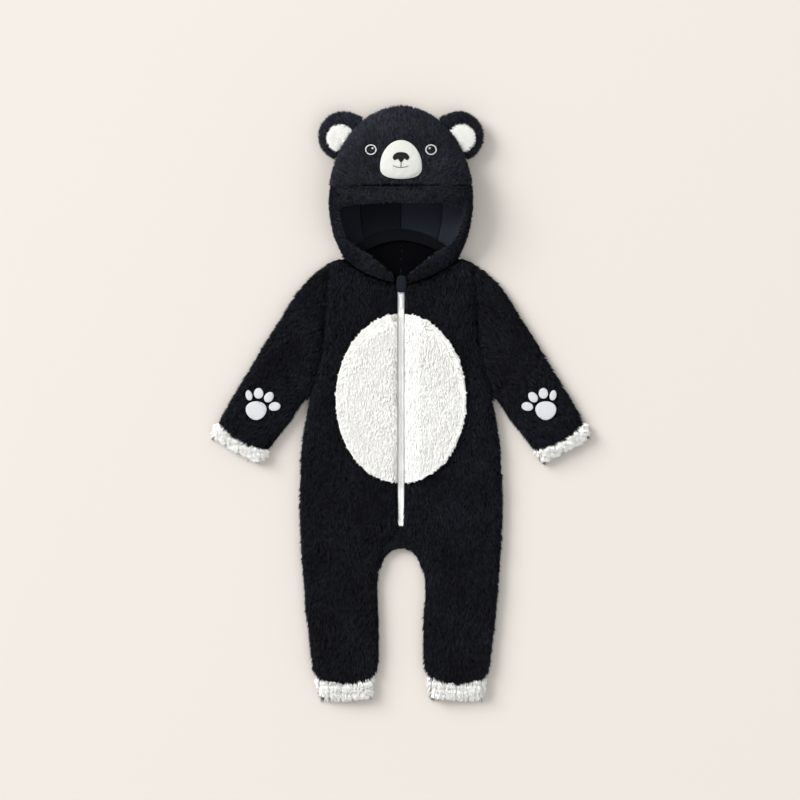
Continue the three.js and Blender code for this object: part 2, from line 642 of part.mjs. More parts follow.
// Lining that shows through the opening, in four pieces with seams between them
const LINING_DEEP = 0.55;
const LINING_PIECES = table('name from to', [
  ['left', -0.97, -0.585],
  ['back_left', -0.58, -0.003],
  ['back_right', 0.003, 0.58],
  ['right', 0.585, 0.97],
]);
for (const piece of LINING_PIECES) {
  const us = steps(piece.from, piece.to, 5);
  const vs = steps(0.02, LINING_DEEP, 6);
  const under = HOOD_WALL + 0.9;
  add(`hood_lining_${piece.name}`, wall(bowlGrid(us, vs, under), bowlGrid(us, vs, under + LINING)), LINING_GREY);
}

// Tape over the inside of the neck seam
add('neck_tape', bar(-44, 44, 238, 256, 9, 10, 0.3), LINING_GREY);

// Brim: stations from the chin on the left over the brow to the chin on the right
function brimStation(at) {
  const place = Math.abs(at);
  const column = (name) => {
    const points = BRIM_ROWS.map((row, i) => new THREE.Vector3(i, row[name], 0));
    const acrossMiddle = name.endsWith('X') ? -1 : 1;
    points.push(new THREE.Vector3(BRIM_ROWS.length, acrossMiddle * BRIM_ROWS[BRIM_ROWS.length - 1][name], 0));
    return new THREE.CatmullRomCurve3(points, false, 'catmullrom', 0.5).getPoint(place / BRIM_ROWS.length).y;
  };
  const side = Math.sign(at) || 1;
  const [seamX, seamY] = [column('seamX'), column('seamY')];
  const bodySeam = seamY < NECK_CORNER + 4 ? NECK_SEAM_Z : 0;
  const seamZ = seamY > BROW_SEAM - 2 ? faceTop(seamX, BROW_SEAM) : Math.max(hoodSide(seamY), bodySeam);
  const seam = new THREE.Vector3(seamX, seamY, seamZ + SEAM_GAP);
  const edge = new THREE.Vector3(column('edgeX'), column('edgeY'), column('edgeZ'));
  const along = edge.clone().sub(seam).normalize();
  const inward = new THREE.Vector3(0, 0, -1).addScaledVector(along, along.z).normalize();
  const tuck = clamp(column('tuck'), 0, 1);
  const turned = new THREE.Vector3(-tuck, 0, tuck - 1).normalize();
  const outer = [0, 0.22, 0.5, 0.78, 1].map((t) =>
    seam.clone().lerp(edge, t).addScaledVector(inward, -column('puff') * Math.sin(Math.PI * t) ** 0.8));
  const inner = [edge.clone().addScaledVector(inward, 4), seam.clone().addScaledVector(turned, HOOD_WALL)];
  return [...outer, ...inner].map((p) => [side * p.x, p.y, p.z]);
}

// A solid swept through closed sections, capped at both ends from their first corner
function swept(sections) {
  const sides = sections[0].length;
  const faces = [];
  for (let i = 0; i + 1 < sections.length; i += 1) {
    for (let j = 0; j < sides; j += 1) {
      const [p, q] = [i * sides + j, i * sides + ((j + 1) % sides)];
      faces.push([p, q, q + sides], [p, q + sides, p + sides]);
    }
  }
  const last = (sections.length - 1) * sides;
  for (let j = 1; j + 1 < sides; j += 1) {
    faces.push([0, j + 1, j], [last, last + j, last + j + 1]);
  }
  return solid(sections.flat(), faces);
}
const halfBrim = steps(0, BRIM_ROWS.length - 0.5, 22);
add('hood_brim', swept([
  ...halfBrim.map((at) => brimStation(-at - 1e-6)),
  ...halfBrim.map((at) => brimStation(at + 1e-6)).reverse(),
]), BLACK);

// Depth inside an ear's outline: a circle, and for the outer ear a flank that tapers from it to a point
function earDepth(ear, x, y) {
  const tapers = ear.flankX ? steps(0, 1, 10) : [0];
  return Math.max(...tapers.map((t) => {
    const [cx, cy] = [lerp(ear.x, ear.flankX ?? 0, t), lerp(ear.y, ear.flankY ?? 0, t)];
    return ear.radius * (1 - t) - Math.hypot(x - cx, y - cy);
  }));
}

// Reach of a ray from a point until it leaves the ear or comes to the hood's outline
function earOutline(ear, sides) {
  return steps(0, 360, sides).slice(0, -1).map((angle) => {
    const [c, s] = [Math.cos(angle * degrees), Math.sin(angle * degrees)];
    let reach = 0;
    const free = (r) => {
      const [x, y] = [ear.rootX + r * c, ear.rootY + r * s];
      const clearOfHood = Math.abs(x) > hoodHalf(y) + 0.8 || y > HOOD_CENTRE + HOOD_UP;
      return earDepth(ear, x, y) > 0 && clearOfHood;
    };
    while (free(reach + 0.1)) reach += 0.1;
    return [ear.rootX + reach * c, ear.rootY + reach * s];
  });
}
const earPuff = (x, y) => quarterRound(earDepth(EAR, x, y) + 0.5, EAR.round);
const earTop = (x, y) => EAR.middle + EAR.half * earPuff(x, y);

// Superellipse-like egg outline about a middle point
const egg = (shape, sides) => steps(0, 360, sides).slice(0, -1).map((angle) => {
  const [c, s] = [Math.cos(angle * degrees), Math.sin(angle * degrees)];
  return [shape.half * c * (1 - (shape.pinch ?? 0) * s), shape.y + (s > 0 ? shape.up : shape.down) * s];
});
const PAD_RINGS = [1, 0.86, 0.5];
const DISC_RINGS = [1, 0.8];
const FACE_LIFT = 0.6;
const domed = (puff) => (ring) => puff * (0.35 + 0.65 * Math.sqrt(1 - ring ** 2));

const faceLifted = (x, y) => faceTop(x, y) + FACE_LIFT;
const muzzleTop = (x, y, ring) => faceLifted(x, y) + domed(MUZZLE.puff)(ring);
add('muzzle', disc([0, MUZZLE.y], egg(MUZZLE, 24), PAD_RINGS, muzzleTop, faceLifted), WHITE);

function muzzleRing(x, y) {
  const tall = y > MUZZLE.y ? MUZZLE.up : MUZZLE.down;
  return Math.min(Math.hypot(x / MUZZLE.half, (y - MUZZLE.y) / tall), 1);
}
const noseBase = (x, y) => muzzleTop(x, y, muzzleRing(x, y)) + FACE_LIFT;
add('nose', disc(
  [0, NOSE.y], egg(NOSE, 14), DISC_RINGS, (x, y, ring) => noseBase(x, y) + domed(NOSE.puff)(ring), noseBase,
), BLACK, 0.5);

for (const [word, side] of [['left', -1], ['right', 1]]) {
  const mirrored = (points) => points.map(([x, y]) => [side * x, y]);
  add(`ear_${word}`, disc(
    [side * EAR.rootX, EAR.rootY], mirrored(earOutline(EAR, 28)), [1, 0.93, 0.8, 0.5],
    (x, y) => earTop(Math.abs(x), y), (x, y) => EAR.middle - EAR.half * earPuff(Math.abs(x), y) - 0.6,
  ), BLACK);
  const inner = (lift) => (x, y) => earTop(Math.abs(x), y) + lift;
  add(`ear_inner_${word}`, disc(
    [side * EAR_INNER.rootX, EAR_INNER.rootY], mirrored(earOutline(EAR_INNER, 20)), DISC_RINGS,
    inner(0.5 + EAR_INNER.thick), inner(0.5),
  ), WHITE);
  const eyeOutline = egg({ half: EYE.radius, y: EYE.y, up: EYE.radius, down: EYE.radius }, 16)
    .map(([x, y]) => [x + side * EYE.x, y]);
  add(`eye_${word}`, disc(
    [side * EYE.x, EYE.y], eyeOutline, DISC_RINGS, (x, y, ring) => faceLifted(x, y) + domed(EYE.puff)(ring), faceLifted,
  ), BLACK, 0.5);
  for (const spot of PAW_SPOTS) {
    const [c, s] = [Math.cos(spot.turn * degrees), Math.sin(spot.turn * degrees)];
    const outline = egg({ half: spot.wide / 2, y: 0, up: spot.tall / 2, down: spot.tall / 2 }, 12)
      .map(([x, y]) => [side * (spot.x + x * c - y * s), spot.y + x * s + y * c]);
    const base = (x, y) => MID + sleeveRise(Math.abs(x), y) + 0.4;
    add(`paw_${spot.name}_${word}`, disc(
      [side * spot.x, spot.y], outline, DISC_RINGS, (x, y, ring) => base(x, y) + domed(PAW_THICK)(ring), base,
    ), SATIN_WHITE, 0.5);
  }
}

export default romper;
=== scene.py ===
import bpy
import numpy as np
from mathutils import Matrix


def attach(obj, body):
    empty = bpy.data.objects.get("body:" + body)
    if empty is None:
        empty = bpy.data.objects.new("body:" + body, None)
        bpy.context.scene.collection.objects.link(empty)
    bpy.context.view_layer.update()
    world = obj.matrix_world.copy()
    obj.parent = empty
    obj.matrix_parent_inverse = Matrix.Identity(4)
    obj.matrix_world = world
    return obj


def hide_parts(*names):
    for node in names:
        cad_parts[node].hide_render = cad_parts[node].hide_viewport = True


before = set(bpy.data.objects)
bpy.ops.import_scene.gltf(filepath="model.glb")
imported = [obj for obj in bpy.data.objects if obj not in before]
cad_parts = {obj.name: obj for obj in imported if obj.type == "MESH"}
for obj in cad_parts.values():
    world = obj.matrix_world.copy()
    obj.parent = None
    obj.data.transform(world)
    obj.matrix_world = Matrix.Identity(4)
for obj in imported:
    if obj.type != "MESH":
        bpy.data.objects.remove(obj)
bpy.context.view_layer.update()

# The ground: a pale warm sheet of studio paper, wide enough to run out of every view.
# It is smooth and matt, so the garment only leaves a soft shadow on it.
MM = 0.001
SIDES = (("left", -1), ("right", 1))
PAPER = "CBC5BE"
PAPER_SPAN = 9.0


def linear(hex_colour):
    """The linear colour of an sRGB hex value: each channel undone from the sRGB curve."""
    srgb = np.array([int(hex_colour[i : i + 2], 16) for i in (0, 2, 4)]) / 255
    low = srgb / 12.92
    high = ((srgb + 0.055) / 1.055) ** 2.4
    return (*np.where(srgb <= 0.04045, low, high), 1.0)


def new_mesh(name, points, faces, smooth=True):
    """A mesh object at the origin from points in millimetres and rows of face corners."""
    mesh = bpy.data.meshes.new(name)
    points = np.asarray(points, dtype=np.float32) * MM
    faces = np.asarray(faces, dtype=np.int32)
    mesh.vertices.add(len(points))
    mesh.vertices.foreach_set("co", points.ravel())
    mesh.loops.add(faces.size)
    mesh.loops.foreach_set("vertex_index", faces.ravel())
    mesh.polygons.add(len(faces))
    mesh.polygons.foreach_set("loop_start", np.arange(len(faces), dtype=np.int32) * faces.shape[1])
    mesh.polygons.foreach_set("use_smooth", np.full(len(faces), smooth))
    mesh.update(calc_edges=True)
    mesh.validate()
    piece = bpy.data.objects.new(name, mesh)
    bpy.context.collection.objects.link(piece)
    return piece


def add_node(tree, kind, settings=None, **links):
    """A shader node with its settings and its input links, each link a socket or a constant."""
    node = tree.nodes.new(kind)
    for name, value in (settings or {}).items():
        setattr(node, name, value)
    for name, value in links.items():
        socket = node.inputs[int(name[1:])] if name[0] == "i" and name[1:].isdigit() else node.inputs[name]
        if isinstance(value, bpy.types.NodeSocket):
            tree.links.new(value, socket)
        else:
            socket.default_value = value
    return node


def new_material(name, roughness, specular=0.5):
    """A Principled material, given with its tree and shader."""
    material = bpy.data.materials.new(name)
    material.use_nodes = True
    tree = material.node_tree
    shader = tree.nodes["Principled BSDF"]
    shader.inputs["Roughness"].default_value = roughness
    shader.inputs["Specular IOR Level"].default_value = specular
    return material, tree, shader


def colour_between(tree, shader, factor, colour, dark, light):
    """Base colour that goes from one share of a colour to another with a texture's factor."""
    tone = np.array(linear(colour)[:3])
    tones = add_node(
        tree, "ShaderNodeMix", {"data_type": "RGBA"}, Factor=factor,
        i6=(*(tone * dark), 1.0), i7=(*(tone * light), 1.0),
    )
    tree.links.new(tones.outputs[2], shader.inputs["Base Color"])


def relief(tree, shader, height, strength, distance):
    """Fine surface relief from a texture's height, the distance in metres."""
    bump = add_node(tree, "ShaderNodeBump", Height=height, Strength=strength, Distance=distance)
    tree.links.new(bump.outputs["Normal"], shader.inputs["Normal"])


def object_place(tree):
    """Socket that gives a point's place on the object in metres, for textures of a real size."""
    return add_node(tree, "ShaderNodeTexCoord").outputs["Object"]


paper, _, paper_shader = new_material("matt studio paper", 0.9)
paper_shader.inputs["Base Color"].default_value = linear(PAPER)
half = PAPER_SPAN / 2 / MM
ground = new_mesh(
    "ground", [(-half, -half, 0), (half, -half, 0), (half, half, 0), (-half, half, 0)], [(0, 1, 2, 3)]
)
ground.data.materials.append(paper)

# Light: one large soft lamp high on the left, which throws the shadows to the lower right,
# a weaker one on the right, and an even white surround.
LAMPS = (
    ("key lamp", (-12.9, 9.4, 9.9), 10.0, 4300.0),
    ("fill lamp", (7.5, -6.0, 15.0), 12.0, 380.0),
)
SURROUND = 0.80

for lamp_name, place, size, power in LAMPS:
    lamp = bpy.data.lights.new(lamp_name, "AREA")
    lamp.size = size
    lamp.energy = power
    holder = bpy.data.objects.new(lamp_name, lamp)
    holder.location = place
    away = np.array(place) / np.linalg.norm(place)
    holder.rotation_euler = (np.arccos(away[2]), 0, np.arctan2(away[1], away[0]) + np.pi / 2)
    bpy.context.collection.objects.link(holder)
world = bpy.data.worlds.new("even surround")
world.use_nodes = True
world.node_tree.nodes["Background"].inputs["Color"].default_value = (1, 1, 1, 1)
world.node_tree.nodes["Background"].inputs["Strength"].default_value = SURROUND
bpy.context.scene.world = world
bpy.context.scene.view_settings.view_transform = "Standard"

# Camera: straight above the garment with the hood at the top, far away on a long lens.
CAMERA_HIGH = 14.0
CAMERA_LENS = 420.0
CAMERA_OVER = (-0.0015, 0.003)
camera = bpy.data.cameras.new("camera")
camera.lens = CAMERA_LENS
camera_holder = bpy.data.objects.new("camera", camera)
camera_holder.location = (*CAMERA_OVER, CAMERA_HIGH)
bpy.context.collection.objects.link(camera_holder)
bpy.context.scene.camera = camera_holder

# Body: front and back in two halves each, from the shoulder to the ankle, cut from black plush.
# The knit base is a thin wall; the two layers lie on each other and meet at the side seams.
# Left and right are as seen from above, and the right half is the left one mirrored.
MID = 8.0
TORSO_RISE = 10.5
LEG_RISE = 9.5
UNDER_ROUND = 9.0
ZIP_EDGE, BACK_EDGE = 5.2, 0.2
HEM_SAG = 9.0
PILE = 3.6
KNIT = 1.8
BODY_ROWS = np.array([
    # side edge x, y; inner edge of the front x, y; inner edge of the back x, y
    (105.5, 209.5, 92, 214.5, 92, 212),
    (108, 182, 73, 200.5, 80, 217.2),
    (111, 155, 48, 186.5, 51, 237.8),
    (113.5, 128, 26, 178.5, 26, 245.8),
    (115, 100, ZIP_EDGE, 173.5, BACK_EDGE, 249.2),
    (120, 65, ZIP_EDGE, 138, BACK_EDGE, 160),
    (127, 38, ZIP_EDGE, 95, BACK_EDGE, 100),
    (137, 8, ZIP_EDGE, 45, BACK_EDGE, 45),
    (149, -57, ZIP_EDGE, -25, BACK_EDGE, -25),
    (153, -120, ZIP_EDGE, -95, BACK_EDGE, -95),
    (153.5, -165, ZIP_EDGE, -150, BACK_EDGE, -150),
    (152, -205, ZIP_EDGE, -186, 2, -186),
    (150.5, -237, 25, -214.5, 25, -214.5),
    (148.5, -262, 32, -252, 32, -252),
    (146, -292, 34.3, -285, 34.3, -285),
    (143, -325, 32, -322, 32, -322),
    (139, -357, 31.3, -357, 31.3, -357),
    (136, -385, 32, -385, 32, -385),
    (133.5, -402, 34.5, -402, 34.5, -402),
    (127, -412, 40, -410, 40, -410),
])
UNDERARM, ZIP_START, ZIP_END, CROTCH = 7, 4, 11, 12
STEPS_A_ROW = 6
FOLDS = np.array([
    # x, y, heading in degrees, length, width, depth
    (100, 55, 62, 95, 16, 1.6),
    (62, -178, 118, 70, 15, 1.5),
    (44, -222, 150, 60, 14, 1.8),
    (118, -240, 95, 90, 18, 1.0),
    (88, -335, 80, 90, 20, 1.2),
    (52, -375, 60, 50, 14, 1.2),
    (76, 158, 70, 60, 14, 0.9),
    (126, -95, 84, 70, 15, 0.8),
    (105, -398, 100, 34, 11, 0.9),
    (42, -262, 96, 74, 7, 1.5),
    (40, -345, 90, 90, 7, 1.3),
])


def through(points, places):
    """Centripetal Catmull-Rom curve through points, read at places counted in points.

    Each span is a cubic whose end slopes come from its neighbours, spaced by the square root of
    the distance between points; past an end the first span is carried on straight.
    """
    points = np.asarray(points, dtype=float)
    full = np.vstack([2 * points[0] - points[1], points, 2 * points[-1] - points[-2]])
    places = np.asarray(places, dtype=float)
    i = np.clip(places.astype(int), 0, len(points) - 2)
    p0, p1, p2, p3 = (full[i + k] for k in range(4))
    d0, d1, d2 = (
        np.maximum(np.linalg.norm(b - a, axis=-1), 1e-6)[..., None] ** 0.5
        for a, b in ((p0, p1), (p1, p2), (p2, p3))
    )
    start = ((p1 - p0) / d0 - (p2 - p0) / (d0 + d1) + (p2 - p1) / d1) * d1
    end = ((p2 - p1) / d1 - (p3 - p1) / (d1 + d2) + (p3 - p2) / d2) * d1
    t = (places - i)[..., None]
    return (
        p1 + start * t + (3 * (p2 - p1) - 2 * start - end) * t**2 + (2 * (p1 - p2) + start + end) * t**3
    )


def distance_to(line, x, y):
    """Least distance in the plane from each point to a line of points, span by span."""
    best = np.full(np.shape(x), np.inf)
    for (ax, ay), (bx, by) in zip(line[:-1], line[1:]):
        dx, dy = bx - ax, by - ay
        t = np.clip(((x - ax) * dx + (y - ay) * dy) / (dx * dx + dy * dy), 0, 1)
        best = np.minimum(best, np.hypot(x - ax - t * dx, y - ay - t * dy))
    return best


def pulled_down(rise, seams, x, y):
    """Rise that falls to each seam's rim as a quarter round of its radius; the lowest one counts."""
    falls = []
    for line, rim, radius in seams:
        near = 1 - np.clip(distance_to(line, x, y) / radius, 0, 1)
        falls.append(rim + (rise - rim) * np.sqrt(1 - near**2))
    return np.min(falls, axis=0)


def fold_depth(x, y, folds):
    """Sum of soft troughs: each a bell across its heading and a longer bell along it."""
    total = np.zeros(np.shape(x))
    for fx, fy, heading, length, width, depth in folds:
        c, s = np.cos(np.radians(heading)), np.sin(np.radians(heading))
        along = ((x - fx) * c + (y - fy) * s) / (length / 2)
        across = ((y - fy) * c - (x - fx) * s) / (width / 2)
        total += depth * np.exp(-1.5 * along**2 - across**2)
    return total


row_places = np.linspace(0, len(BODY_ROWS) - 1, (len(BODY_ROWS) - 1) * STEPS_A_ROW + 1)
side_line, front_line, back_line = (through(BODY_ROWS[:, k : k + 2], row_places) for k in (0, 2, 4))
FRONT_SEAMS = [
    # line, height of its rim, and how far in from it the cloth falls
    (side_line[: UNDERARM * STEPS_A_ROW + 1], 6.0, 9.0),
    (side_line[UNDERARM * STEPS_A_ROW :], 0.8, 13.0),
    (front_line[: ZIP_START * STEPS_A_ROW + 1], 7.0, 7.0),
    (front_line[ZIP_START * STEPS_A_ROW : ZIP_END * STEPS_A_ROW + 1], 5.0, 9.0),
    (front_line[ZIP_END * STEPS_A_ROW : CROTCH * STEPS_A_ROW + 1], 5.5, 8.0),
    (front_line[CROTCH * STEPS_A_ROW :], 0.8, 13.0),
]
BACK_SEAMS = [
    (side_line[: UNDERARM * STEPS_A_ROW + 1], 5.0, 5.0),
    (side_line[UNDERARM * STEPS_A_ROW :], 0.8, UNDER_ROUND),
    (back_line[CROTCH * STEPS_A_ROW :], 0.8, UNDER_ROUND),
]


def front_height(x, y):
    """Top of the pile on the front: the rise over the middle plane, less the soft folds."""
    blend = np.clip((y + 260) / 140, 0, 1)
    rise = LEG_RISE + (TORSO_RISE - LEG_RISE) * blend**2 * (3 - 2 * blend)
    pulled = pulled_down(rise, FRONT_SEAMS, x, y)
    return MID + pulled - fold_depth(x, y, FOLDS) * np.clip((pulled - 4) / 4, 0, 1)


def back_height(x, y):
    """Underside of the back: flat on the ground, rounding up to the seams at its edges."""
    return MID - pulled_down(MID, BACK_SEAMS, x, y)


def edge_steps(count, crowd=1.7):
    """Fractions from 0 to 1, crowded towards both ends by a power."""
    t = np.linspace(-1, 1, count)
    return 0.5 + 0.5 * np.sign(t) * (1 - (1 - np.abs(t)) ** crowd)


def body_skin(side, inner, least, height, rows=110, columns=34):
    """Grid of a half panel: each row runs from the side edge to the inner edge, the hem bowed down."""
    places = np.linspace(0, len(BODY_ROWS) - 1, rows)
    start = through(BODY_ROWS[:, 0:2], places)[:, None, :]
    end = through(BODY_ROWS[:, inner], places)[:, None, :]
    end[..., 0] = np.maximum(end[..., 0], least)
    u = edge_steps(columns)[None, :, None]
    flat = start + (end - start) * u
    sag = HEM_SAG * np.clip((places - len(BODY_ROWS) + 3) / 2, 0, 1) ** 2
    flat[..., 1] -= sag[:, None] * np.sin(np.pi * u[..., 0])
    x, y = flat[..., 0], flat[..., 1]
    return np.stack([side * x, y, height(x, y)], axis=-1)


UP, DOWN, ROUND = (0, 0, 1), (0, 0, -1), None


def grid_normals(grid, out, closed=False):
    """Unit normals of a grid from the cross product of its two difference directions.

    They are turned to the side out, or for a tube away from the middle of each row.
    """
    down = np.gradient(grid, axis=0)
    if closed:
        over = (np.roll(grid, -1, axis=1) - np.roll(grid, 1, axis=1)) / 2
    else:
        over = np.gradient(grid, axis=1)
    normal = np.cross(down, over)
    away = grid - grid.mean(axis=1, keepdims=True) if out is ROUND else np.asarray(out)
    if np.sum(normal * away) < 0:
        normal = -normal
    return normal / np.maximum(np.linalg.norm(normal, axis=-1, keepdims=True), 1e-9)


def wall_mesh(name, outer, inner, closed=False):
    """A closed wall between two grids: both skins, joined along the rims that are open."""
    rows, columns = outer.shape[:2]
    index = np.arange(rows * columns).reshape(rows, columns)
    if closed:
        index = np.concatenate([index, index[:, :1]], axis=1)
    far = index + rows * columns
    quads = [
        np.stack([index[:-1, :-1], index[1:, :-1], index[1:, 1:], index[:-1, 1:]], axis=-1),
        np.stack([far[:-1, :-1], far[:-1, 1:], far[1:, 1:], far[1:, :-1]], axis=-1),
        np.stack([index[0, :-1], index[0, 1:], far[0, 1:], far[0, :-1]], axis=-1),
        np.stack([index[-1, 1:], index[-1, :-1], far[-1, :-1], far[-1, 1:]], axis=-1),
    ]
    if not closed:
        quads.append(np.stack([index[1:, 0], index[:-1, 0], far[:-1, 0], far[1:, 0]], axis=-1))
        quads.append(np.stack([index[:-1, -1], index[1:, -1], far[1:, -1], far[:-1, -1]], axis=-1))
    faces = np.concatenate([q.reshape(-1, 4) for q in quads])
    points = np.concatenate([outer.reshape(-1, 3), inner.reshape(-1, 3)])
    a, b, c, d = (points[faces[:, k]] for k in range(4))
    if np.sum(a * np.cross(b, c)) + np.sum(a * np.cross(c, d)) < 0:
        faces = faces[:, ::-1]
    return new_mesh(name, points, faces)


def knit_wall(name, skin, out, pile=PILE, knit=KNIT, closed=False, low=-np.inf, high=np.inf, sewn=()):
    """The knit base under a pile: the skin moved in by the pile, and again by the knit's thickness.

    Near a sewn line it only moves up or down, so that the two panels meet there. Both layers are
    kept between the heights low and high. Gives the piece and its outer grid.
    """
    inward = -grid_normals(skin, out, closed)
    if sewn:
        near = np.min([distance_to(line, np.abs(skin[..., 0]), skin[..., 1]) for line in sewn], axis=0)
        free = np.clip(near / 7, 0, 1)[..., None]
        upright = np.zeros_like(inward)
        upright[..., 2] = np.where(inward[..., 2] > 0, 1.0, -1.0) if out is ROUND else -out[2]
        inward = inward * free + upright * (1 - free)
    base = skin + inward * pile
    under = skin + inward * (pile + knit)
    for layer, margin in ((base, 0.15), (under, 0.0)):
        layer[..., 2] = np.clip(layer[..., 2], low + margin, high - margin)
    return wall_mesh(name, base, under, closed), base


SWIRL, SWIRL_WAVES = 0.32, (17, 23)
CLUMP, CLUMP_WAVES = 5, (6.1, 7.3)
STRAY_TURN, STRAY_LEAN, STRAY_ROLL = 0.3, 9, 0.35
LEAST_LEAN, MOST_LEAN = 5, 86
LEAST_SIZE, MOST_SIZE = 0.6, 1.4
ROOT_DEEP = 0.8
TUFT_ROOT = ((0.5, 0.08), (-0.5, 0.08), (0, -0.28))


def pile_mesh(
    name, base, out, count, length, width, lean, nap, seed, closed=False, keep=None, floor=None, trim=None
):
    """Plush pile as closed four-faced tufts, spread evenly by area over a grid.

    A tuft is a flat triangle at the root and a tip: root plus length times a direction that leans
    from the surface's normal towards the nap by the angle lean, with a slow swirl and a small
    scatter. The root triangle stands square to that direction, its broad side up, rolled a little.
    Where the surface turns upright the tufts are shorter, and their shading normals are mostly the
    surface's own, as a dense pile looks from afar.
    """
    rng = np.random.default_rng(seed)
    if closed:
        normals = grid_normals(base, out, closed)
        normals = np.concatenate([normals, normals[:, :1]], axis=1)
        base = np.concatenate([base, base[:, :1]], axis=1)
    else:
        normals = grid_normals(base, out)
    corners = [base[:-1, :-1], base[1:, :-1], base[1:, 1:], base[:-1, 1:]]
    area = np.linalg.norm(np.cross(corners[2] - corners[0], corners[3] - corners[1]), axis=-1) / 2
    share = area.ravel() / area.sum()
    cell = np.searchsorted(np.cumsum(share), np.sort(rng.random(count)) * 0.999999)
    i, j = np.unravel_index(cell, area.shape)
    a, b = rng.random((2, count, 1))

    def blend(grid):
        upper = grid[i, j] * (1 - b) + grid[i, j + 1] * b
        lower = grid[i + 1, j] * (1 - b) + grid[i + 1, j + 1] * b
        return upper * (1 - a) + lower * a

    root, normal = blend(base), blend(normals)
    if keep is not None:
        chosen = keep(root)
        root, normal = root[chosen], normal[chosen]
    count = len(root)
    normal /= np.maximum(np.linalg.norm(normal, axis=-1, keepdims=True), 1e-9)
    way = nap(root) if callable(nap) else np.broadcast_to(np.asarray(nap, dtype=float), root.shape)
    waves = np.sin(root[:, 1] / SWIRL_WAVES[1] + seed)
    swirl = SWIRL * np.sin(root[:, 0] / SWIRL_WAVES[0] + 1.7 * waves) + rng.normal(0, STRAY_TURN, count)
    side_way = np.cross(normal, way)
    way = way * np.cos(swirl)[:, None] + side_way * np.sin(swirl)[:, None]
    way -= normal * np.sum(way * normal, axis=-1, keepdims=True)
    way /= np.maximum(np.linalg.norm(way, axis=-1, keepdims=True), 1e-6)
    clump = CLUMP * np.sin(root[:, 0] / CLUMP_WAVES[0] + seed)
    clump *= np.sin(root[:, 1] / CLUMP_WAVES[1] + 2 * seed)
    lean = lean(root) if callable(lean) else lean
    tilt = np.clip(lean + clump + rng.normal(0, STRAY_LEAN, count), LEAST_LEAN, MOST_LEAN)
    tilt = np.radians(tilt)[:, None]
    size = rng.uniform(LEAST_SIZE, MOST_SIZE, (count, 1))
    reach = length * size**0.5 * (0.62 + 0.38 * np.abs(normal[:, 2:3]))
    lengthwise = normal * np.cos(tilt) + way * np.sin(tilt)
    across = np.cross(normal, way)
    square = np.cross(lengthwise, across)
    roll = rng.normal(0, STRAY_ROLL, (count, 1))
    start = root - lengthwise * ROOT_DEEP
    ring = []
    for broad, deep in TUFT_ROOT:
        sideways = broad * np.cos(roll) - deep * np.sin(roll)
        upwards = broad * np.sin(roll) + deep * np.cos(roll)
        ring.append(start + width * size * (sideways * across + upwards * square))
    tufts = np.stack([*ring, root + reach * lengthwise], axis=1)
    if trim is not None:
        tufts = trim(tufts)
    if floor is not None:
        tufts[..., 2] = np.maximum(tufts[..., 2], floor + 0.3 * rng.random((count, 4)))
    first = 4 * np.arange(count)[:, None, None]
    faces = (first + np.array([[0, 2, 1], [0, 1, 3], [1, 2, 3], [2, 0, 3]])).reshape(-1, 3)
    points = tufts.reshape(-1, 3)
    piece = new_mesh(name, points, faces)
    # The tuft attribute: the tip's share, for the painted shade at the root and painted light at the tip, and
    # a random tone for each tuft.
    tone = np.zeros((count, 4, 2), dtype=np.float32)
    tone[:, 3, 0] = 1
    tone[:, :, 1] = rng.random((count, 1))
    shade = piece.data.attributes.new("tuft", "FLOAT2", "POINT")
    shade.data.foreach_set("vector", tone.ravel())
    own = points - np.repeat(tufts.mean(axis=1), 4, axis=0)
    own /= np.maximum(np.linalg.norm(own, axis=-1, keepdims=True), 1e-6)
    broadside = np.repeat(square * np.cos(roll) - across * np.sin(roll), 4, axis=0)
    soft = 0.55 * np.repeat(normal, 4, axis=0) + 0.45 * broadside + 0.15 * own
    soft /= np.linalg.norm(soft, axis=-1, keepdims=True)
    piece.data.normals_split_custom_set_from_vertices(soft.tolist())
    return piece


def cut_of(grid, closed=False):
    """Width, length and area in metres of a grid's flat cut: its widest row and longest column."""
    if closed:
        grid = np.concatenate([grid, grid[:, :1]], axis=1)
    widths = np.linalg.norm(np.diff(grid, axis=1), axis=-1).sum(axis=1)
    lengths = np.linalg.norm(np.diff(grid, axis=0), axis=-1).sum(axis=0)
    cells = np.cross(grid[1:, 1:] - grid[:-1, :-1], grid[1:, :-1] - grid[:-1, 1:])
    area = np.linalg.norm(cells, axis=-1).sum() / 2
    width, length = widths.max(), max(lengths.max(), area / widths.max() * 1.002)
    return (width * MM, length * MM), area * MM**2


# how often the pile's tone changes from lock to lock, and in slow brushed patches
LOCKS_PER_METRE = (300, 110, 170)
BRUSHED_PER_METRE = 15.0


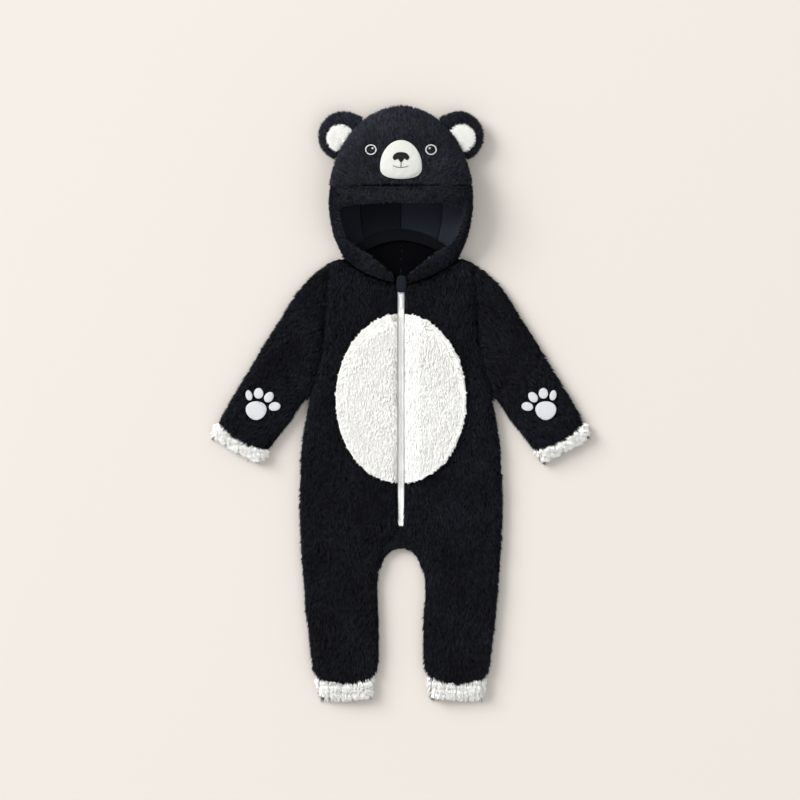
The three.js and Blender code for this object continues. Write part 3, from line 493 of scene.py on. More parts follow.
def plush_material(name, root, tip, sheen, sheen_tint, spread=0.25, brushed=0.0):
    """Pile of dyed polyester fibre: darker at the root as painted shade deep in the pile, lighter at the tip
    as painted light, each lock a little different.

    The fibres are matt and catch light along their sides, which the sheen stands for. Hands brush
    the pile this way and that, which leaves slow lighter and darker patches.
    """
    material, tree, shader = new_material(name, 0.85, 0.15)
    shader.inputs["Sheen Weight"].default_value = sheen
    shader.inputs["Sheen Roughness"].default_value = 0.45
    shader.inputs["Sheen Tint"].default_value = linear(sheen_tint)
    tuft = add_node(tree, "ShaderNodeAttribute", {"attribute_name": "tuft"})
    parts = add_node(tree, "ShaderNodeSeparateXYZ", Vector=tuft.outputs["Vector"])
    along = add_node(
        tree, "ShaderNodeMix", {"data_type": "RGBA"}, Factor=parts.outputs["X"],
        i6=linear(root), i7=linear(tip),
    )
    place = object_place(tree)
    locks = add_node(tree, "ShaderNodeMapping", {"vector_type": "POINT"}, Vector=place)
    locks.inputs["Scale"].default_value = LOCKS_PER_METRE
    patches = add_node(tree, "ShaderNodeTexNoise", Vector=locks.outputs["Vector"], Scale=1.0, Detail=2.0)
    slow = add_node(tree, "ShaderNodeTexNoise", Vector=place, Scale=BRUSHED_PER_METRE, Detail=2.0)
    lifted = add_node(tree, "ShaderNodeMath", {"operation": "POWER"}, i0=parts.outputs["Y"], i1=2.2)
    both = add_node(tree, "ShaderNodeMath", {"operation": "ADD"}, i0=lifted.outputs[0], i1=patches.outputs[0])
    own = add_node(
        tree,
        "ShaderNodeMapRange",
        Value=both.outputs[0],
        **{"From Min": 0.4, "From Max": 1.4, "To Min": 1 - spread, "To Max": 1 + 1.6 * spread},
    )
    wide = add_node(
        tree,
        "ShaderNodeMapRange",
        Value=slow.outputs[0],
        **{"From Min": 0.35, "From Max": 0.65, "To Min": 1 - brushed, "To Max": 1 + brushed},
    )
    value = add_node(tree, "ShaderNodeMath", {"operation": "MULTIPLY"}, i0=own.outputs[0], i1=wide.outputs[0])
    tone = add_node(tree, "ShaderNodeHueSaturation", Color=along.outputs[2], Value=value.outputs[0])
    tree.links.new(tone.outputs["Color"], shader.inputs["Base Color"])
    return material


def knit_material(name, colour):
    """Weft-knitted base cloth: rows of loops about a millimetre apart, seen only between the tufts."""
    material, tree, shader = new_material(name, 0.95, 0.06)
    place = object_place(tree)
    loops = add_node(tree, "ShaderNodeTexVoronoi", {"distance": "CHEBYCHEV"}, Vector=place, Scale=900.0)
    relief(tree, shader, loops.outputs["Distance"], 0.4, 0.0004)
    patchy = add_node(tree, "ShaderNodeTexNoise", Vector=place, Scale=60.0, Detail=3.0)
    colour_between(tree, shader, patchy.outputs[0], colour, 0.75, 1.2)
    return material


# Roots darker than the tips are painted shade deep in the pile; the tips' lighter tone is painted light.
BLACK_ROOT, BLACK_TIP, BLACK_SHEEN = "020204", "11131B", "7F8CA8"
HOOD_ROOT, HOOD_TIP = "08080B", "24262E"
WHITE_ROOT, WHITE_TIP, WHITE_SHEEN = "F7F5EE", "FFFFFC", "FFFFFF"
black_pile = plush_material(
    "black polyester plush pile", BLACK_ROOT, BLACK_TIP, 0.05, BLACK_SHEEN, spread=0.85, brushed=0.35
)
# The hood and ears get a lighter copy of the same black plush: painted light.
hood_pile = plush_material(
    "black polyester plush pile, hood", HOOD_ROOT, HOOD_TIP, 0.09, BLACK_SHEEN, spread=0.7, brushed=0.3
)
# The knit base takes the pile's near-black root colour: the cloth's own black, darkened further as painted
# shade for the insides seen through the openings.
black_knit = knit_material("black knitted plush base", BLACK_ROOT)
white_pile = plush_material(
    "white polyester plush pile", WHITE_ROOT, WHITE_TIP, 0.12, WHITE_SHEEN, spread=0.04
)
white_knit = knit_material("white knitted plush base", WHITE_ROOT)
BLACK_PLUSH = (black_knit, black_pile, "black_plush")
HOOD_PLUSH = (black_knit, hood_pile, "black_plush")
WHITE_PLUSH = (white_knit, white_pile, "white_plush")


def dress(piece, material, body="garment"):
    """Gives a piece its material and lets it ride on a body."""
    piece.data.materials.append(material)
    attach(piece, body)


def lay_cloth(wall, material, slot, node, rests_on, cut, **pile):
    """Dresses a panel and puts it in place of its node."""
    dress(wall, material)
    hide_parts(node)


def lay_plush(wall, pile, plush, node, rests_on, cut):
    """The same for a plush panel, with its pile, which goes wherever the panel goes."""
    knit, fibre, slot = plush
    dress(pile, fibre)
    lay_cloth(wall, knit, slot, node, rests_on, cut, with_pieces=[pile])


BELLY = {"y": 4.5, "half": 97.5, "tall": 129}


def outside_belly(points):
    """True where no white patch lies over the black front."""
    x, y = points[:, 0], points[:, 1] - BELLY["y"]
    return (x / BELLY["half"]) ** 2 + (y / BELLY["tall"]) ** 2 > 0.9


ZIP_CLEAR, ZIP_NARROWS, NARROW_FROM, NARROW_OVER, ZIP_FOOT = 5.2, 3.0, -130, 50, -188


def clear_of_zip(side):
    """Keeps tufts on their own side of the zip, whose bare strip narrows towards its foot."""

    def trim(tufts):
        out = side * tufts[..., 0]
        apart = ZIP_CLEAR - ZIP_NARROWS * np.clip((NARROW_FROM - tufts[..., 1]) / NARROW_OVER, 0, 1)
        apart = np.where(tufts[..., 1] > ZIP_FOOT, apart, 0.3)
        tufts[..., 0] = side * np.maximum(out, apart + 0.06 * out)
        return tufts

    return trim


FRONT_TUFTS, BACK_TUFTS = 27500, 5000
TAPE_REACH, TAPE_FOOT, TAPE_HEAD, TAPE_ROOM = 12, -187, 174, 1.6
FRONT_SEWN = [side_line[: UNDERARM * STEPS_A_ROW + 1], front_line[: (CROTCH + 1) * STEPS_A_ROW]]
BACK_SEWN = [side_line[: UNDERARM * STEPS_A_ROW + 1], back_line[: (CROTCH + 1) * STEPS_A_ROW]]
for word, side in SIDES:
    skin = body_skin(side, slice(2, 4), ZIP_EDGE, front_height)
    over_tape = np.abs(skin[..., 0]) < TAPE_REACH
    over_tape &= (skin[..., 1] > TAPE_FOOT) & (skin[..., 1] < TAPE_HEAD)
    wall, base = knit_wall(
        f"front_{word}_knit", skin, UP, low=np.where(over_tape, MID + TAPE_ROOM, MID), sewn=FRONT_SEWN
    )
    pile = pile_mesh(
        f"front_{word}_pile", base, UP, FRONT_TUFTS, length=8.5, width=2.3, lean=60,
        nap=(0.12 * side, -1, 0), seed=11 + side, keep=outside_belly, trim=clear_of_zip(side),
    )
    lay_plush(wall, pile, BLACK_PLUSH, f"front_{word}", [f"back_{word}"], cut_of(base))

    skin = body_skin(side, slice(4, 6), 0.2, back_height)
    wall, base = knit_wall(f"back_{word}_knit", skin, DOWN, pile=2.6, high=MID, sewn=BACK_SEWN)
    pile = pile_mesh(
        f"back_{word}_pile", base, DOWN, BACK_TUFTS, length=8.0, width=3.2, lean=68,
        nap=(0.12 * side, -1, 0), seed=31 + side, floor=0.1,
    )
    lay_plush(wall, pile, BLACK_PLUSH, f"back_{word}", [ground.name], cut_of(base))

# Crotch gusset: a narrow diamond of the same plush between the legs, sewn to both inner-leg
# seams. It is folded over the arch, so its front half is a small dark triangle below the zip.
GUSSET_HALF, GUSSET_TOP, GUSSET_KNEE, GUSSET_FALL, GUSSET_LEG = 30.4, -186.0, 24, 26, 5.4
GUSSET_OUT = (0, -1, 0.2)
ARCH = {"y": -258.5, "half": 31.5, "tall": 40.0}
GUSSET_TURNS = np.linspace(0, 2, 25)
GUSSET_TUFTS = 3200


def gusset_skin(columns=45):
    """Grid over the arch: rows from the front edge round the fold to the back, a half sine in height.

    The lower edge is a half ellipse between the legs, the upper one falls to the inner-leg seams.
    """
    x = GUSSET_HALF * np.sin(np.radians(np.linspace(-88, 88, columns)))[None, :]
    reach = np.minimum(np.abs(x) / GUSSET_KNEE, 1)
    high = np.where(
        reach < 1,
        GUSSET_TOP - GUSSET_FALL * reach**0.8,
        GUSSET_TOP - GUSSET_FALL - GUSSET_LEG * (np.abs(x) - GUSSET_KNEE),
    )
    low = ARCH["y"] + ARCH["tall"] * np.sqrt(1 - (x / ARCH["half"]) ** 2)
    t = GUSSET_TURNS[:, None]
    bend = np.where(t < 1, 6 + (3.5 - 6) * reach, -MID)
    turn = np.minimum(np.abs(1 - t) * 1.6, 1)
    y = np.minimum(low + (high - low) * np.abs(1 - t) ** 1.6, high)
    return np.stack([x + 0 * t, y, MID + bend * np.sin(turn * np.pi / 2)], axis=-1)


skin = gusset_skin()
wall, base = knit_wall("crotch_gusset_knit", skin, GUSSET_OUT, pile=1.6, knit=1.0)
pile = pile_mesh(
    "crotch_gusset_pile", base, GUSSET_OUT, GUSSET_TUFTS, length=5.4, width=2.0, lean=58,
    nap=(0, -1, -0.3), seed=51, floor=0.1,
)
lay_plush(wall, pile, BLACK_PLUSH, "crotch_gusset", ["back_left", "back_right"], cut_of(base))

# Sleeves: flat-laid tubes of black plush set into the armholes, slanting down to the wrists.
# Top and under side meet in a fold along each edge; a few soft drags run from the underarm.
SLEEVE_RISE = 9.5
WRIST_SAG = 7.0
SLEEVE_ROWS = np.array([
    # outer x, outer y, inner x, inner y, share of the armhole's curve
    (106.1, 209.5, 138, 7.6, 1),
    (127.5, 196, 141.5, 4, 0.7),
    (154.5, 168, 147, -4, 0.3),
    (178, 131, 153.5, -14, 0),
    (202.5, 93, 162, -27, 0),
    (226, 54, 174, -42, 0),
    (247, 19, 185, -56, 0),
    (264, -9.5, 193, -66.5, 0),
    (274, -30, 198.6, -72, 0),
])
SLEEVE_FOLDS = np.array([
    # x, y, heading in degrees, length, width, depth
    (158, 30, 62, 70, 13, 1.3),
    (172, 62, 50, 80, 12, 1.1),
    (150, 95, 75, 70, 13, 0.9),
    (205, 35, -58, 60, 13, 0.8),
    (228, -30, -35, 34, 10, 0.9),
])
SLEEVE_TUFTS = 14500

armhole_places = np.linspace(0, UNDERARM, 60)
armhole_line = through(BODY_ROWS[:, 0:2], armhole_places) + (0.6, 0)
sleeve_places = np.linspace(0, len(SLEEVE_ROWS) - 1, 49)
sleeve_outer = through(SLEEVE_ROWS[:, 0:2], sleeve_places)
sleeve_inner = through(SLEEVE_ROWS[:, 2:4], sleeve_places)
SLEEVE_OVER = [(armhole_line, 6.0, 9.0), (sleeve_outer, 0.0, 15.0), (sleeve_inner, 0.0, 15.0)]
SLEEVE_UNDER = [(armhole_line, 5.0, 5.0), (sleeve_outer, 0.0, UNDER_ROUND), (sleeve_inner, 0.0, UNDER_ROUND)]


def sleeve_rise(x, y):
    """Height of the sleeve's top over the middle plane, less its folds."""
    pulled = pulled_down(SLEEVE_RISE, SLEEVE_OVER, x, y)
    return pulled - fold_depth(x, y, SLEEVE_FOLDS) * np.clip((pulled - 4) / 4, 0, 1)


def sleeve_row(v, u):
    """Point across the sleeve at a place v along it: the chord, the armhole's bow and the wrist's sag."""
    place = v * (len(SLEEVE_ROWS) - 1)
    start = through(SLEEVE_ROWS[:, 0:2], place)
    end = through(SLEEVE_ROWS[:, 2:4], place)
    bow = np.interp(place, np.arange(len(SLEEVE_ROWS)), SLEEVE_ROWS[:, 4])[..., None]
    hole = through(BODY_ROWS[:, 0:2], u * UNDERARM)
    top, bottom = through(BODY_ROWS[:, 0:2], [0.0, float(UNDERARM)])
    chord = top + (bottom - top) * u[..., None]
    away = np.stack([end[..., 1] - start[..., 1], start[..., 0] - end[..., 0]], axis=-1)
    away /= np.linalg.norm(away, axis=-1, keepdims=True)
    sag = WRIST_SAG * np.clip(8 * v - 7, 0, 1)[..., None] ** 2 * np.sin(np.pi * u)[..., None]
    return start + (end - start) * u[..., None] + (hole - chord) * bow - away * sag


def tube_loop(flat, over, under):
    """Closed loop of each row: over the top from edge to edge, then back underneath."""
    x, y = flat[..., 0], flat[..., 1]
    top = np.stack([x, y, MID + over(x, y)], axis=-1)
    low = np.stack([x, y, MID - under(x, y)], axis=-1)[:, -2:0:-1]
    return np.concatenate([top, low], axis=1)


PAW_SPOTS = {
    # x, y, width, height, turn in degrees
    "pad": (217, -13, 31, 28, 0),
    "toe_1": (189.3, -6.7, 17.5, 13, -10),
    "toe_2": (197.8, 7.3, 13, 17, 38),
    "toe_3": (213.3, 13, 14, 16, 0),
    "toe_4": (227.8, 10, 10, 15.5, -12),
}


def off_the_paws(points):
    """True where no paw print is embroidered on the sleeve."""
    clear = np.full(len(points), True)
    for x, y, wide, tall, turn in PAW_SPOTS.values():
        c, s = np.cos(np.radians(turn)), np.sin(np.radians(turn))
        dx, dy = np.abs(points[:, 0]) - x, points[:, 1] - y
        along, up = (dx * c + dy * s) / (wide / 2), (dy * c - dx * s) / (tall / 2)
        clear &= (along**2 + up**2 > 1.0) | (points[:, 2] < MID)
    return clear


v, u = np.meshgrid(np.linspace(0, 1, 66), edge_steps(27), indexing="ij")
sleeve_skin = tube_loop(
    sleeve_row(v, u), sleeve_rise, lambda x, y: pulled_down(MID, SLEEVE_UNDER, x, y)
)
SLEEVE_NAP = (0.62, -0.78, 0)
for word, side in SIDES:
    skin = sleeve_skin * (side, 1, 1)
    wall, base = knit_wall(f"sleeve_{word}_knit", skin, ROUND, pile=3.2, closed=True, sewn=[armhole_line])
    pile = pile_mesh(
        f"sleeve_{word}_pile", base, ROUND, SLEEVE_TUFTS, length=8.0, width=2.2, lean=60,
        nap=np.multiply(SLEEVE_NAP, (side, 1, 1)), seed=71 + side, closed=True, floor=0.1, keep=off_the_paws,
    )
    lay_plush(wall, pile, BLACK_PLUSH, f"sleeve_{word}", [ground.name], cut_of(base, closed=True))

# Cuffs: short tubes of white plush sewn to the ends of sleeves and legs, the pile running out
# over the seam and over the open end in loose locks, with a hollow mouth.
CUFF_RISE = 7.0
LOCK_WIDE, LOCK_DRAW = 6.0, 0.55
MOUTH_NEAR, MOUTH_REACH, MOUTH_BACK, MOUTH_DROP = 8, 2.4, 5.0, 0.45
LEG_CUFF_LONG, SLEEVE_CUFF_LONG = 28.8, 19.0
CUFF_TUFTS = 5200


def cuff_flat(hem, along, long, narrow, rows=16):
    """Grid in the plane from the hem on: it narrows by a share and ends straighter than the hem is."""
    middle = (hem[0] + hem[-1]) / 2
    t = np.linspace(0, 1, rows)[:, None, None]
    across = (hem - middle)[None]
    bow_out = (across @ along)[..., None]
    start = hem[None] + 0.6 * along - (across - bow_out * along) * narrow * t
    return start + along * t * (long - 0.75 * bow_out)


def in_locks(tufts):
    """Tips drawn together into locks: each goes a share of the way to the middle of its own cell."""
    cell = np.floor(tufts[:, 0, :2] / LOCK_WIDE)
    shift = 0.4 * np.sin(cell[:, ::-1] * 12.9 + cell * 4.1)
    middle = (cell + 0.5 + shift) * LOCK_WIDE
    root = tufts[:, :3, :2].mean(axis=1)
    tufts[:, 3, :2] += LOCK_DRAW * (middle - root)
    return tufts


def over_mouth(end, along):
    """Locks of a cuff; at its open end those on top hang over it, and those below stay back."""

    def trim(tufts):
        tufts = in_locks(tufts)
        near = np.clip(((tufts[:, 0, :2] - end) @ along + MOUTH_NEAR) / MOUTH_NEAR, 0, 1)
        reach = np.where(tufts[:, 0, 2] > CUFF_RISE / 2, MOUTH_REACH, -MOUTH_BACK)
        tufts[:, 3, :2] += (reach * near)[:, None] * along
        tufts[:, 3, 2] *= 1 - MOUTH_DROP * near
        return tufts

    return trim


hem_u = edge_steps(30)
leg_hem = BODY_ROWS[-1, 0:2] + (BODY_ROWS[-1, 2:4] - BODY_ROWS[-1, 0:2]) * hem_u[:, None]
leg_hem[:, 1] -= HEM_SAG * np.sin(np.pi * hem_u)
wrist_hem = sleeve_row(np.ones_like(hem_u), hem_u)
wrist_way = wrist_hem[-1] - wrist_hem[0]
down_sleeve = np.array([-wrist_way[1], wrist_way[0]]) / np.linalg.norm(wrist_way)
down_sleeve *= -1 if down_sleeve[1] > 0 else 1
CUFFS = (
    ("leg_cuff", leg_hem, np.array([0.0, -1.0]), LEG_CUFF_LONG, 0.12, 91),
    ("sleeve_cuff", wrist_hem, down_sleeve, SLEEVE_CUFF_LONG, 0.07, 93),
)
for name, hem, along, long, narrow, seed in CUFFS:
    flat_grid = cuff_flat(hem, along, long, narrow)
    edges = [flat_grid[:, 0], flat_grid[:, -1]]
    over = [(line, 0.0, 11.0) for line in edges] + [(flat_grid[-1], 0.0, 9.0)]
    under = [(line, 0.0, UNDER_ROUND) for line in edges]
    cuff_skin = tube_loop(
        flat_grid,
        lambda x, y: pulled_down(CUFF_RISE, over, x, y),
        lambda x, y: pulled_down(MID, under, x, y),
    )
    for word, side in SIDES:
        skin = cuff_skin * (side, 1, 1)
        wall, base = knit_wall(f"{name}_{word}_knit", skin, ROUND, pile=2.4, knit=1.4, closed=True)
        pile = pile_mesh(
            f"{name}_{word}_pile", base, ROUND, CUFF_TUFTS, length=9.0, width=2.3, lean=46,
            nap=(along[0] * side, along[1], -0.4), seed=seed + side, closed=True, floor=0.1,
            trim=over_mouth(skin[-1, :, :2].mean(axis=0), along * (side, 1)),
        )
        lay_plush(wall, pile, WHITE_PLUSH, f"{name}_{word}", [ground.name], cut_of(base, closed=True))

# Belly patch: an oval of white plush sewn on top of the black front, cut in two by the zip.
# Its pile stands up over its edge in short spikes, and the nap runs down.
BELLY_RISE = 0.9
BELLY_TUFTS = 14000
BELLY_LEAN = 60
RIM, RIM_EVEN, RIM_SPIKED = 0.975, 0.12, 0.38


def belly_skin(side, rows=70, columns=26):
    """Half oval beside the zip: rows at equal steps of angle, blunter below, lying over the front."""
    angle = np.radians(np.linspace(-86, 86, rows))[:, None]
    y = BELLY["y"] + BELLY["tall"] * np.where(angle < 0, 0.955, 0.985) * np.sin(angle)
    reach = BELLY["half"] * np.cos(angle) ** np.where(y < BELLY["y"], 0.9, 1.0)
    wide = np.maximum(reach - ZIP_EDGE, 3)
    x = ZIP_EDGE + wide * edge_steps(columns, 1.4)[None, :]
    y = y + 0 * x
    return np.stack([side * x, y, front_height(x, y) + BELLY_RISE], axis=-1)


def belly_trim(side):
    """Keeps the pile clear of the zip, and draws in what reaches past the rim, less so in spikes."""
    beside = clear_of_zip(side)

    def trim(tufts):
        tufts = beside(tufts)
        x, y = tufts[..., 0] / BELLY["half"], (tufts[..., 1] - BELLY["y"]) / BELLY["tall"]
        ring, turn = np.hypot(x, y), np.arctan2(y, x)
        spikes = 0.5 + 0.5 * np.sin(67 * turn + 3 * np.sin(19 * turn))
        drawn = (RIM + (RIM_EVEN + RIM_SPIKED * spikes) * (ring - RIM)) / np.maximum(ring, 0.1)
        share = np.where(ring > RIM, drawn, 1)
        tufts[..., 0] *= share
        tufts[..., 1] = BELLY["y"] + (tufts[..., 1] - BELLY["y"]) * share
        return beside(tufts)

    return trim


def belly_nap(points):
    """Nap of the patch: down, and outwards over the last tenth of the way to its rim."""
    x, y = points[:, 0] / BELLY["half"], (points[:, 1] - BELLY["y"]) / BELLY["tall"]
    rim = np.clip((np.hypot(x, y) - 0.87) / 0.07, 0, 1)[:, None]
    out = np.stack([x, y * BELLY["half"] / BELLY["tall"], 0 * x], axis=-1)
    from_zip = np.stack([0.1 * np.sign(x), 0 * x, 0 * x], axis=-1)
    return np.array([0, -1, 0]) * (1 - rim) + out * 1.2 * rim + from_zip


def beside_zip(points):
    """Lean of the right half's pile: pressed flat along the zip, and as usual from 27 mm on."""
    return BELLY_LEAN + 20 * np.clip((27 - points[:, 0]) / 6, 0, 1)


for word, side in SIDES:
    skin = belly_skin(side)
    wall, base = knit_wall(f"belly_{word}_knit", skin, UP, pile=0.0, knit=1.3)
    pile = pile_mesh(
        f"belly_{word}_pile", base, UP, BELLY_TUFTS, length=8.6, width=2.5,
        lean=BELLY_LEAN if side < 0 else beside_zip, nap=belly_nap, seed=111 + side, trim=belly_trim(side),
    )
    (width, _), area = cut_of(base)
    tall = np.linalg.norm(np.diff(base[:, 0], axis=0), axis=-1).sum() * MM
    lay_plush(wall, pile, WHITE_PLUSH, f"belly_{word}", [f"front_{word}"], ((width, tall), area))

# Hood, front half: a panel of black plush from the brow seam over the crown, arched from side
# seam to side seam, so that the bear's face lies on it. The pile runs back towards the crown.
HOOD_HALF, HOOD_CENTRE, HOOD_UP, HOOD_DOWN = 108.75, 300.0, 143.0, 135.0
BROW_SEAM, CROWN_ANGLE = 324.0, 86.0
HOOD_HEIGHTS = np.array([
    # y, height of the side seam, top of the face
    (213, 11, 11),
    (235, 24, 24),
    (260, 33, 40),
    (300, 38, 58),
    (330, 37, 60),
    (355, 34, 57),
    (385, 28, 48),
    (410, 22.5, 38),
    (430, 18, 27),
    (443, 15, 16),
])
HOOD_WALL = 6.5
FACE_TUFTS = 16000


def height_at(column, y):
    """Smooth value between the rows of the heights: a cubic with slopes from the neighbouring rows."""
    ys, values = HOOD_HEIGHTS[:, 0], HOOD_HEIGHTS[:, column]
    low, high = np.maximum(np.arange(len(ys)) - 1, 0), np.minimum(np.arange(len(ys)) + 1, len(ys) - 1)
    slope = (values[high] - values[low]) / (ys[high] - ys[low])
    i = np.clip(np.searchsorted(ys, y, side="right") - 1, 0, len(ys) - 2)
    step = ys[i + 1] - ys[i]
    t = np.clip((y - ys[i]) / step, 0, 1)
    return (
        (1 + 2 * t) * (1 - t) ** 2 * values[i]
        + t * (1 - t) ** 2 * step * slope[i]
        + t * t * (3 - 2 * t) * values[i + 1]
        + t * t * (t - 1) * step * slope[i + 1]
    )


def hood_half(y, inset=0.0):
    """Half width of the hood's outline, an ellipse of two halves."""
    tall = np.where(y > HOOD_CENTRE, HOOD_UP, HOOD_DOWN) - inset
    return (HOOD_HALF - inset) * np.sqrt(np.maximum(1 - ((y - HOOD_CENTRE) / tall) ** 2, 0))


def face_top(x, y):
    """Top of the face panel: from the side seam's height up by a half ellipse across."""
    side_height = height_at(1, y)
    dome = np.sqrt(np.maximum(1 - (x / np.maximum(hood_half(y), 1e-6)) ** 2, 0))
    return side_height + (height_at(2, y) - side_height) * dome


def face_skin(rows=56, columns=64):
    """Rows from the brow seam to the crown at even angles, each an arch of even angles across."""
    start = np.arcsin((BROW_SEAM + 0.3 - HOOD_CENTRE) / HOOD_UP)
    y = HOOD_CENTRE + HOOD_UP * np.sin(np.linspace(start, np.radians(CROWN_ANGLE), rows))[:, None]
    x = hood_half(y) * np.sin(np.radians(np.linspace(-90, 90, columns)))[None, :]
    y = y + 0 * x
    return np.stack([x, y, face_top(x, y) + 0.15], axis=-1)


def fan_from(cx, cy):
    """Nap that runs away from a point in the plane."""

    def nap(points):
        way = points - (cx, cy, 0)
        way[:, 2] = 0
        return way

    return nap


MUZZLE = {"y": 353.8, "half": 31.2, "up": 37.8, "down": 20.6, "pinch": 0.04, "puff": 5.0}
EYE = {"x": 45.0, "y": 377.2, "radius": 8.7}


def muzzle_ring(x, y):
    """How far out on the muzzle a point lies: 0 in its middle and 1 on its egg-shaped rim."""
    dy = y - MUZZLE["y"]
    s = np.clip(dy / np.where(dy > 0, MUZZLE["up"], MUZZLE["down"]), -1, 1)
    return np.hypot(x / (MUZZLE["half"] * (1 - MUZZLE["pinch"] * s)), s)


def off_the_face(points):
    """True where no muzzle or eye is sewn on the face panel."""
    x, y = points[:, 0], points[:, 1]
    eyes = np.hypot(np.abs(x) - EYE["x"], y - EYE["y"]) > EYE["radius"] - 0.5
    return eyes & (muzzle_ring(x, y) > 0.95)


wall, base = knit_wall("hood_face_knit", face_skin(), UP, pile=3.0, low=12.0)
pile = pile_mesh(
    "hood_face_pile", base, UP, FACE_TUFTS, length=6.8, width=2.0, lean=58,
    nap=fan_from(0, HOOD_CENTRE), seed=131, keep=off_the_face,
)
lay_plush(wall, pile, HOOD_PLUSH, "hood_face", ["hood_back"], cut_of(base))

# Hood, back half: a bowl of black plush that lies flat on the ground in its middle and turns up
# to the side seams. Its lining is seen through the opening.
BOWL_FLAT, NECK_BACK, NECK_CORNER, NECK_BEND, CROWN_START = 0.52, 252.5, 215.5, 1.7, 398.0
HOOD_BACK_TUFTS, HOOD_BACK_PILE = 7000, 2.4


def bowl_point(u, v, inset):
    """Bowl over u across, from seam to seam, and v up, from neck to crown.

    It is flat up to BOWL_FLAT, then turns up as a quarter round to the side seam; the crown end
    lifts as a quarter round too.
    """
    size = np.abs(u)
    turn = np.clip((size - BOWL_FLAT) / (1 - BOWL_FLAT), 0, 1) * np.pi / 2
    across = np.sign(u) * np.where(size < BOWL_FLAT, size, BOWL_FLAT + (1 - BOWL_FLAT) * np.sin(turn))
    up = 1 - np.cos(turn)
    low = NECK_BACK + (NECK_CORNER - NECK_BACK) * np.abs(across) ** NECK_BEND
    top = HOOD_CENTRE + (HOOD_UP - inset) * np.sin(np.radians(CROWN_ANGLE))
    y = low + (top - low) * np.sin(v * np.pi / 2)
    side_height = height_at(1, y) - 0.15
    crown = np.clip((y - CROWN_START) / (HOOD_CENTRE + HOOD_UP - inset - CROWN_START), 0, 1)
    floor = inset + (side_height - inset) * (1 - np.sqrt(1 - crown**2))
    return np.stack([across * hood_half(y, inset), y, floor + (side_height - floor) * up], axis=-1)


v, u = np.meshgrid(np.linspace(0, 1, 46), 2 * edge_steps(64, 1.5) - 1, indexing="ij")
neck_line = bowl_point(np.linspace(0, 1, 40), 0.0, 0)[:, :2]
wall, base = knit_wall(
    "hood_back_knit", bowl_point(u, v, 0), DOWN, pile=HOOD_BACK_PILE, sewn=[neck_line]
)
base[..., 2] = np.maximum(base[..., 2], HOOD_BACK_PILE)
pile = pile_mesh(
    "hood_back_pile", base, DOWN, HOOD_BACK_TUFTS, length=7.0, width=2.8, lean=64,
    nap=fan_from(0, HOOD_CENTRE), seed=141, floor=0.1,
)
lay_plush(wall, pile, HOOD_PLUSH, "hood_back", [ground.name], cut_of(base))

# Hood brim: a band of black plush around the face opening, padded by its turned-in edge, from
# the chin over the brow and back. A seam joins it to the face panel above the brow.
BRIM_COLUMNS = "edge_x edge_y edge_z seam_x seam_y puff".split()
BRIM_ROWS = np.array([
    (11, 187, 21, 11, 177, 0.5),
    (28, 200.5, 23.5, 28, 182, 1),
    (47, 215.5, 27, 48, 189.8, 1.5),
    (66, 226.5, 31.5, 74, 204, 2),
    (82, 240, 36, 89, 220, 3),
    (91, 257, 40, 102.5, 251, 3),
    (95.5, 277, 43, 107.3, 280, 3),
    (96.5, 289, 45, 108.5, 303, 4),
    (88, 294.5, 49, 105.5, 322, 5),
    (68, 298.5, 53, 84, 323.4, 6),
    (42, 301, 56, 50, 323.4, 6),
    (14, 302, 57.5, 16, 323.4, 6),
])
NECK_SEAM_Z, BRIM_CURL, OPENING_Y = 15.5, 2.6, 262
BRIM_TUFTS = 13000


def even_curve(values, places):
    """Uniform Catmull-Rom value between evenly spaced values."""
    full = np.concatenate([[2 * values[0] - values[1]], values, [2 * values[-1] - values[-2]]])
    i = np.clip(places.astype(int), 0, len(values) - 2)
    p0, p1, p2, p3 = (full[i + k] for k in range(4))
    t = places - i
    return p1 + 0.5 * t * (
        (p2 - p0) + t * (2 * p0 - 5 * p1 + 4 * p2 - p3 + t * (3 * (p1 - p2) + p3 - p0))
    )


def brim_skin(stations=110, profile=13):
    """Sections from the chin on the left over the brow to the chin on the right.

    A section goes from the seam to the pile edge, puffed out by a half sine, and then curls in
    and down behind the edge along part of a circle.
    """
    half_places = np.linspace(0, len(BRIM_ROWS) - 0.5, stations)
    columns = []
    for k, name in enumerate(BRIM_COLUMNS):
        values = BRIM_ROWS[:, k]
        last = -values[-1] if name in ("edge_x", "seam_x") else values[-1]
        columns.append(even_curve(np.append(values, last), half_places))
    edge_x, edge_y, edge_z, seam_x, seam_y, puff = columns
    seam_z = np.maximum(height_at(1, seam_y), np.where(seam_y < NECK_CORNER + 4, NECK_SEAM_Z, 0))
    on_face = seam_y > BROW_SEAM - 2
    seam_z = np.where(on_face, face_top(seam_x, np.full_like(seam_x, BROW_SEAM)), seam_z) + 0.3
    seam = np.stack([seam_x, seam_y, seam_z], axis=-1)[:, None]
    edge = np.stack([edge_x, edge_y, edge_z], axis=-1)[:, None]
    along = (edge - seam) / np.linalg.norm(edge - seam, axis=-1, keepdims=True)
    inward = np.array([0, 0, -1.0]) + along * along[..., 2:3]
    inward /= np.linalg.norm(inward, axis=-1, keepdims=True)
    t = np.linspace(0, 1, profile)[None, :, None]
    outer = seam + (edge - seam) * t - inward * puff[:, None, None] * np.sin(np.pi * t) ** 0.8
    curl = np.radians(np.linspace(20, 150, 8))[None, :, None]
    behind = edge + BRIM_CURL * (along * np.sin(curl) + inward * (1 - np.cos(curl)))
    section = np.concatenate([outer, behind], axis=1)
    left = section * (-1, 1, 1)
    return np.concatenate([left[:-1], section[::-1]], axis=0)


def over_edge(points):
    """Nap of the brim: over its edge, towards the middle of the opening."""
    return -fan_from(0, OPENING_Y)(points)


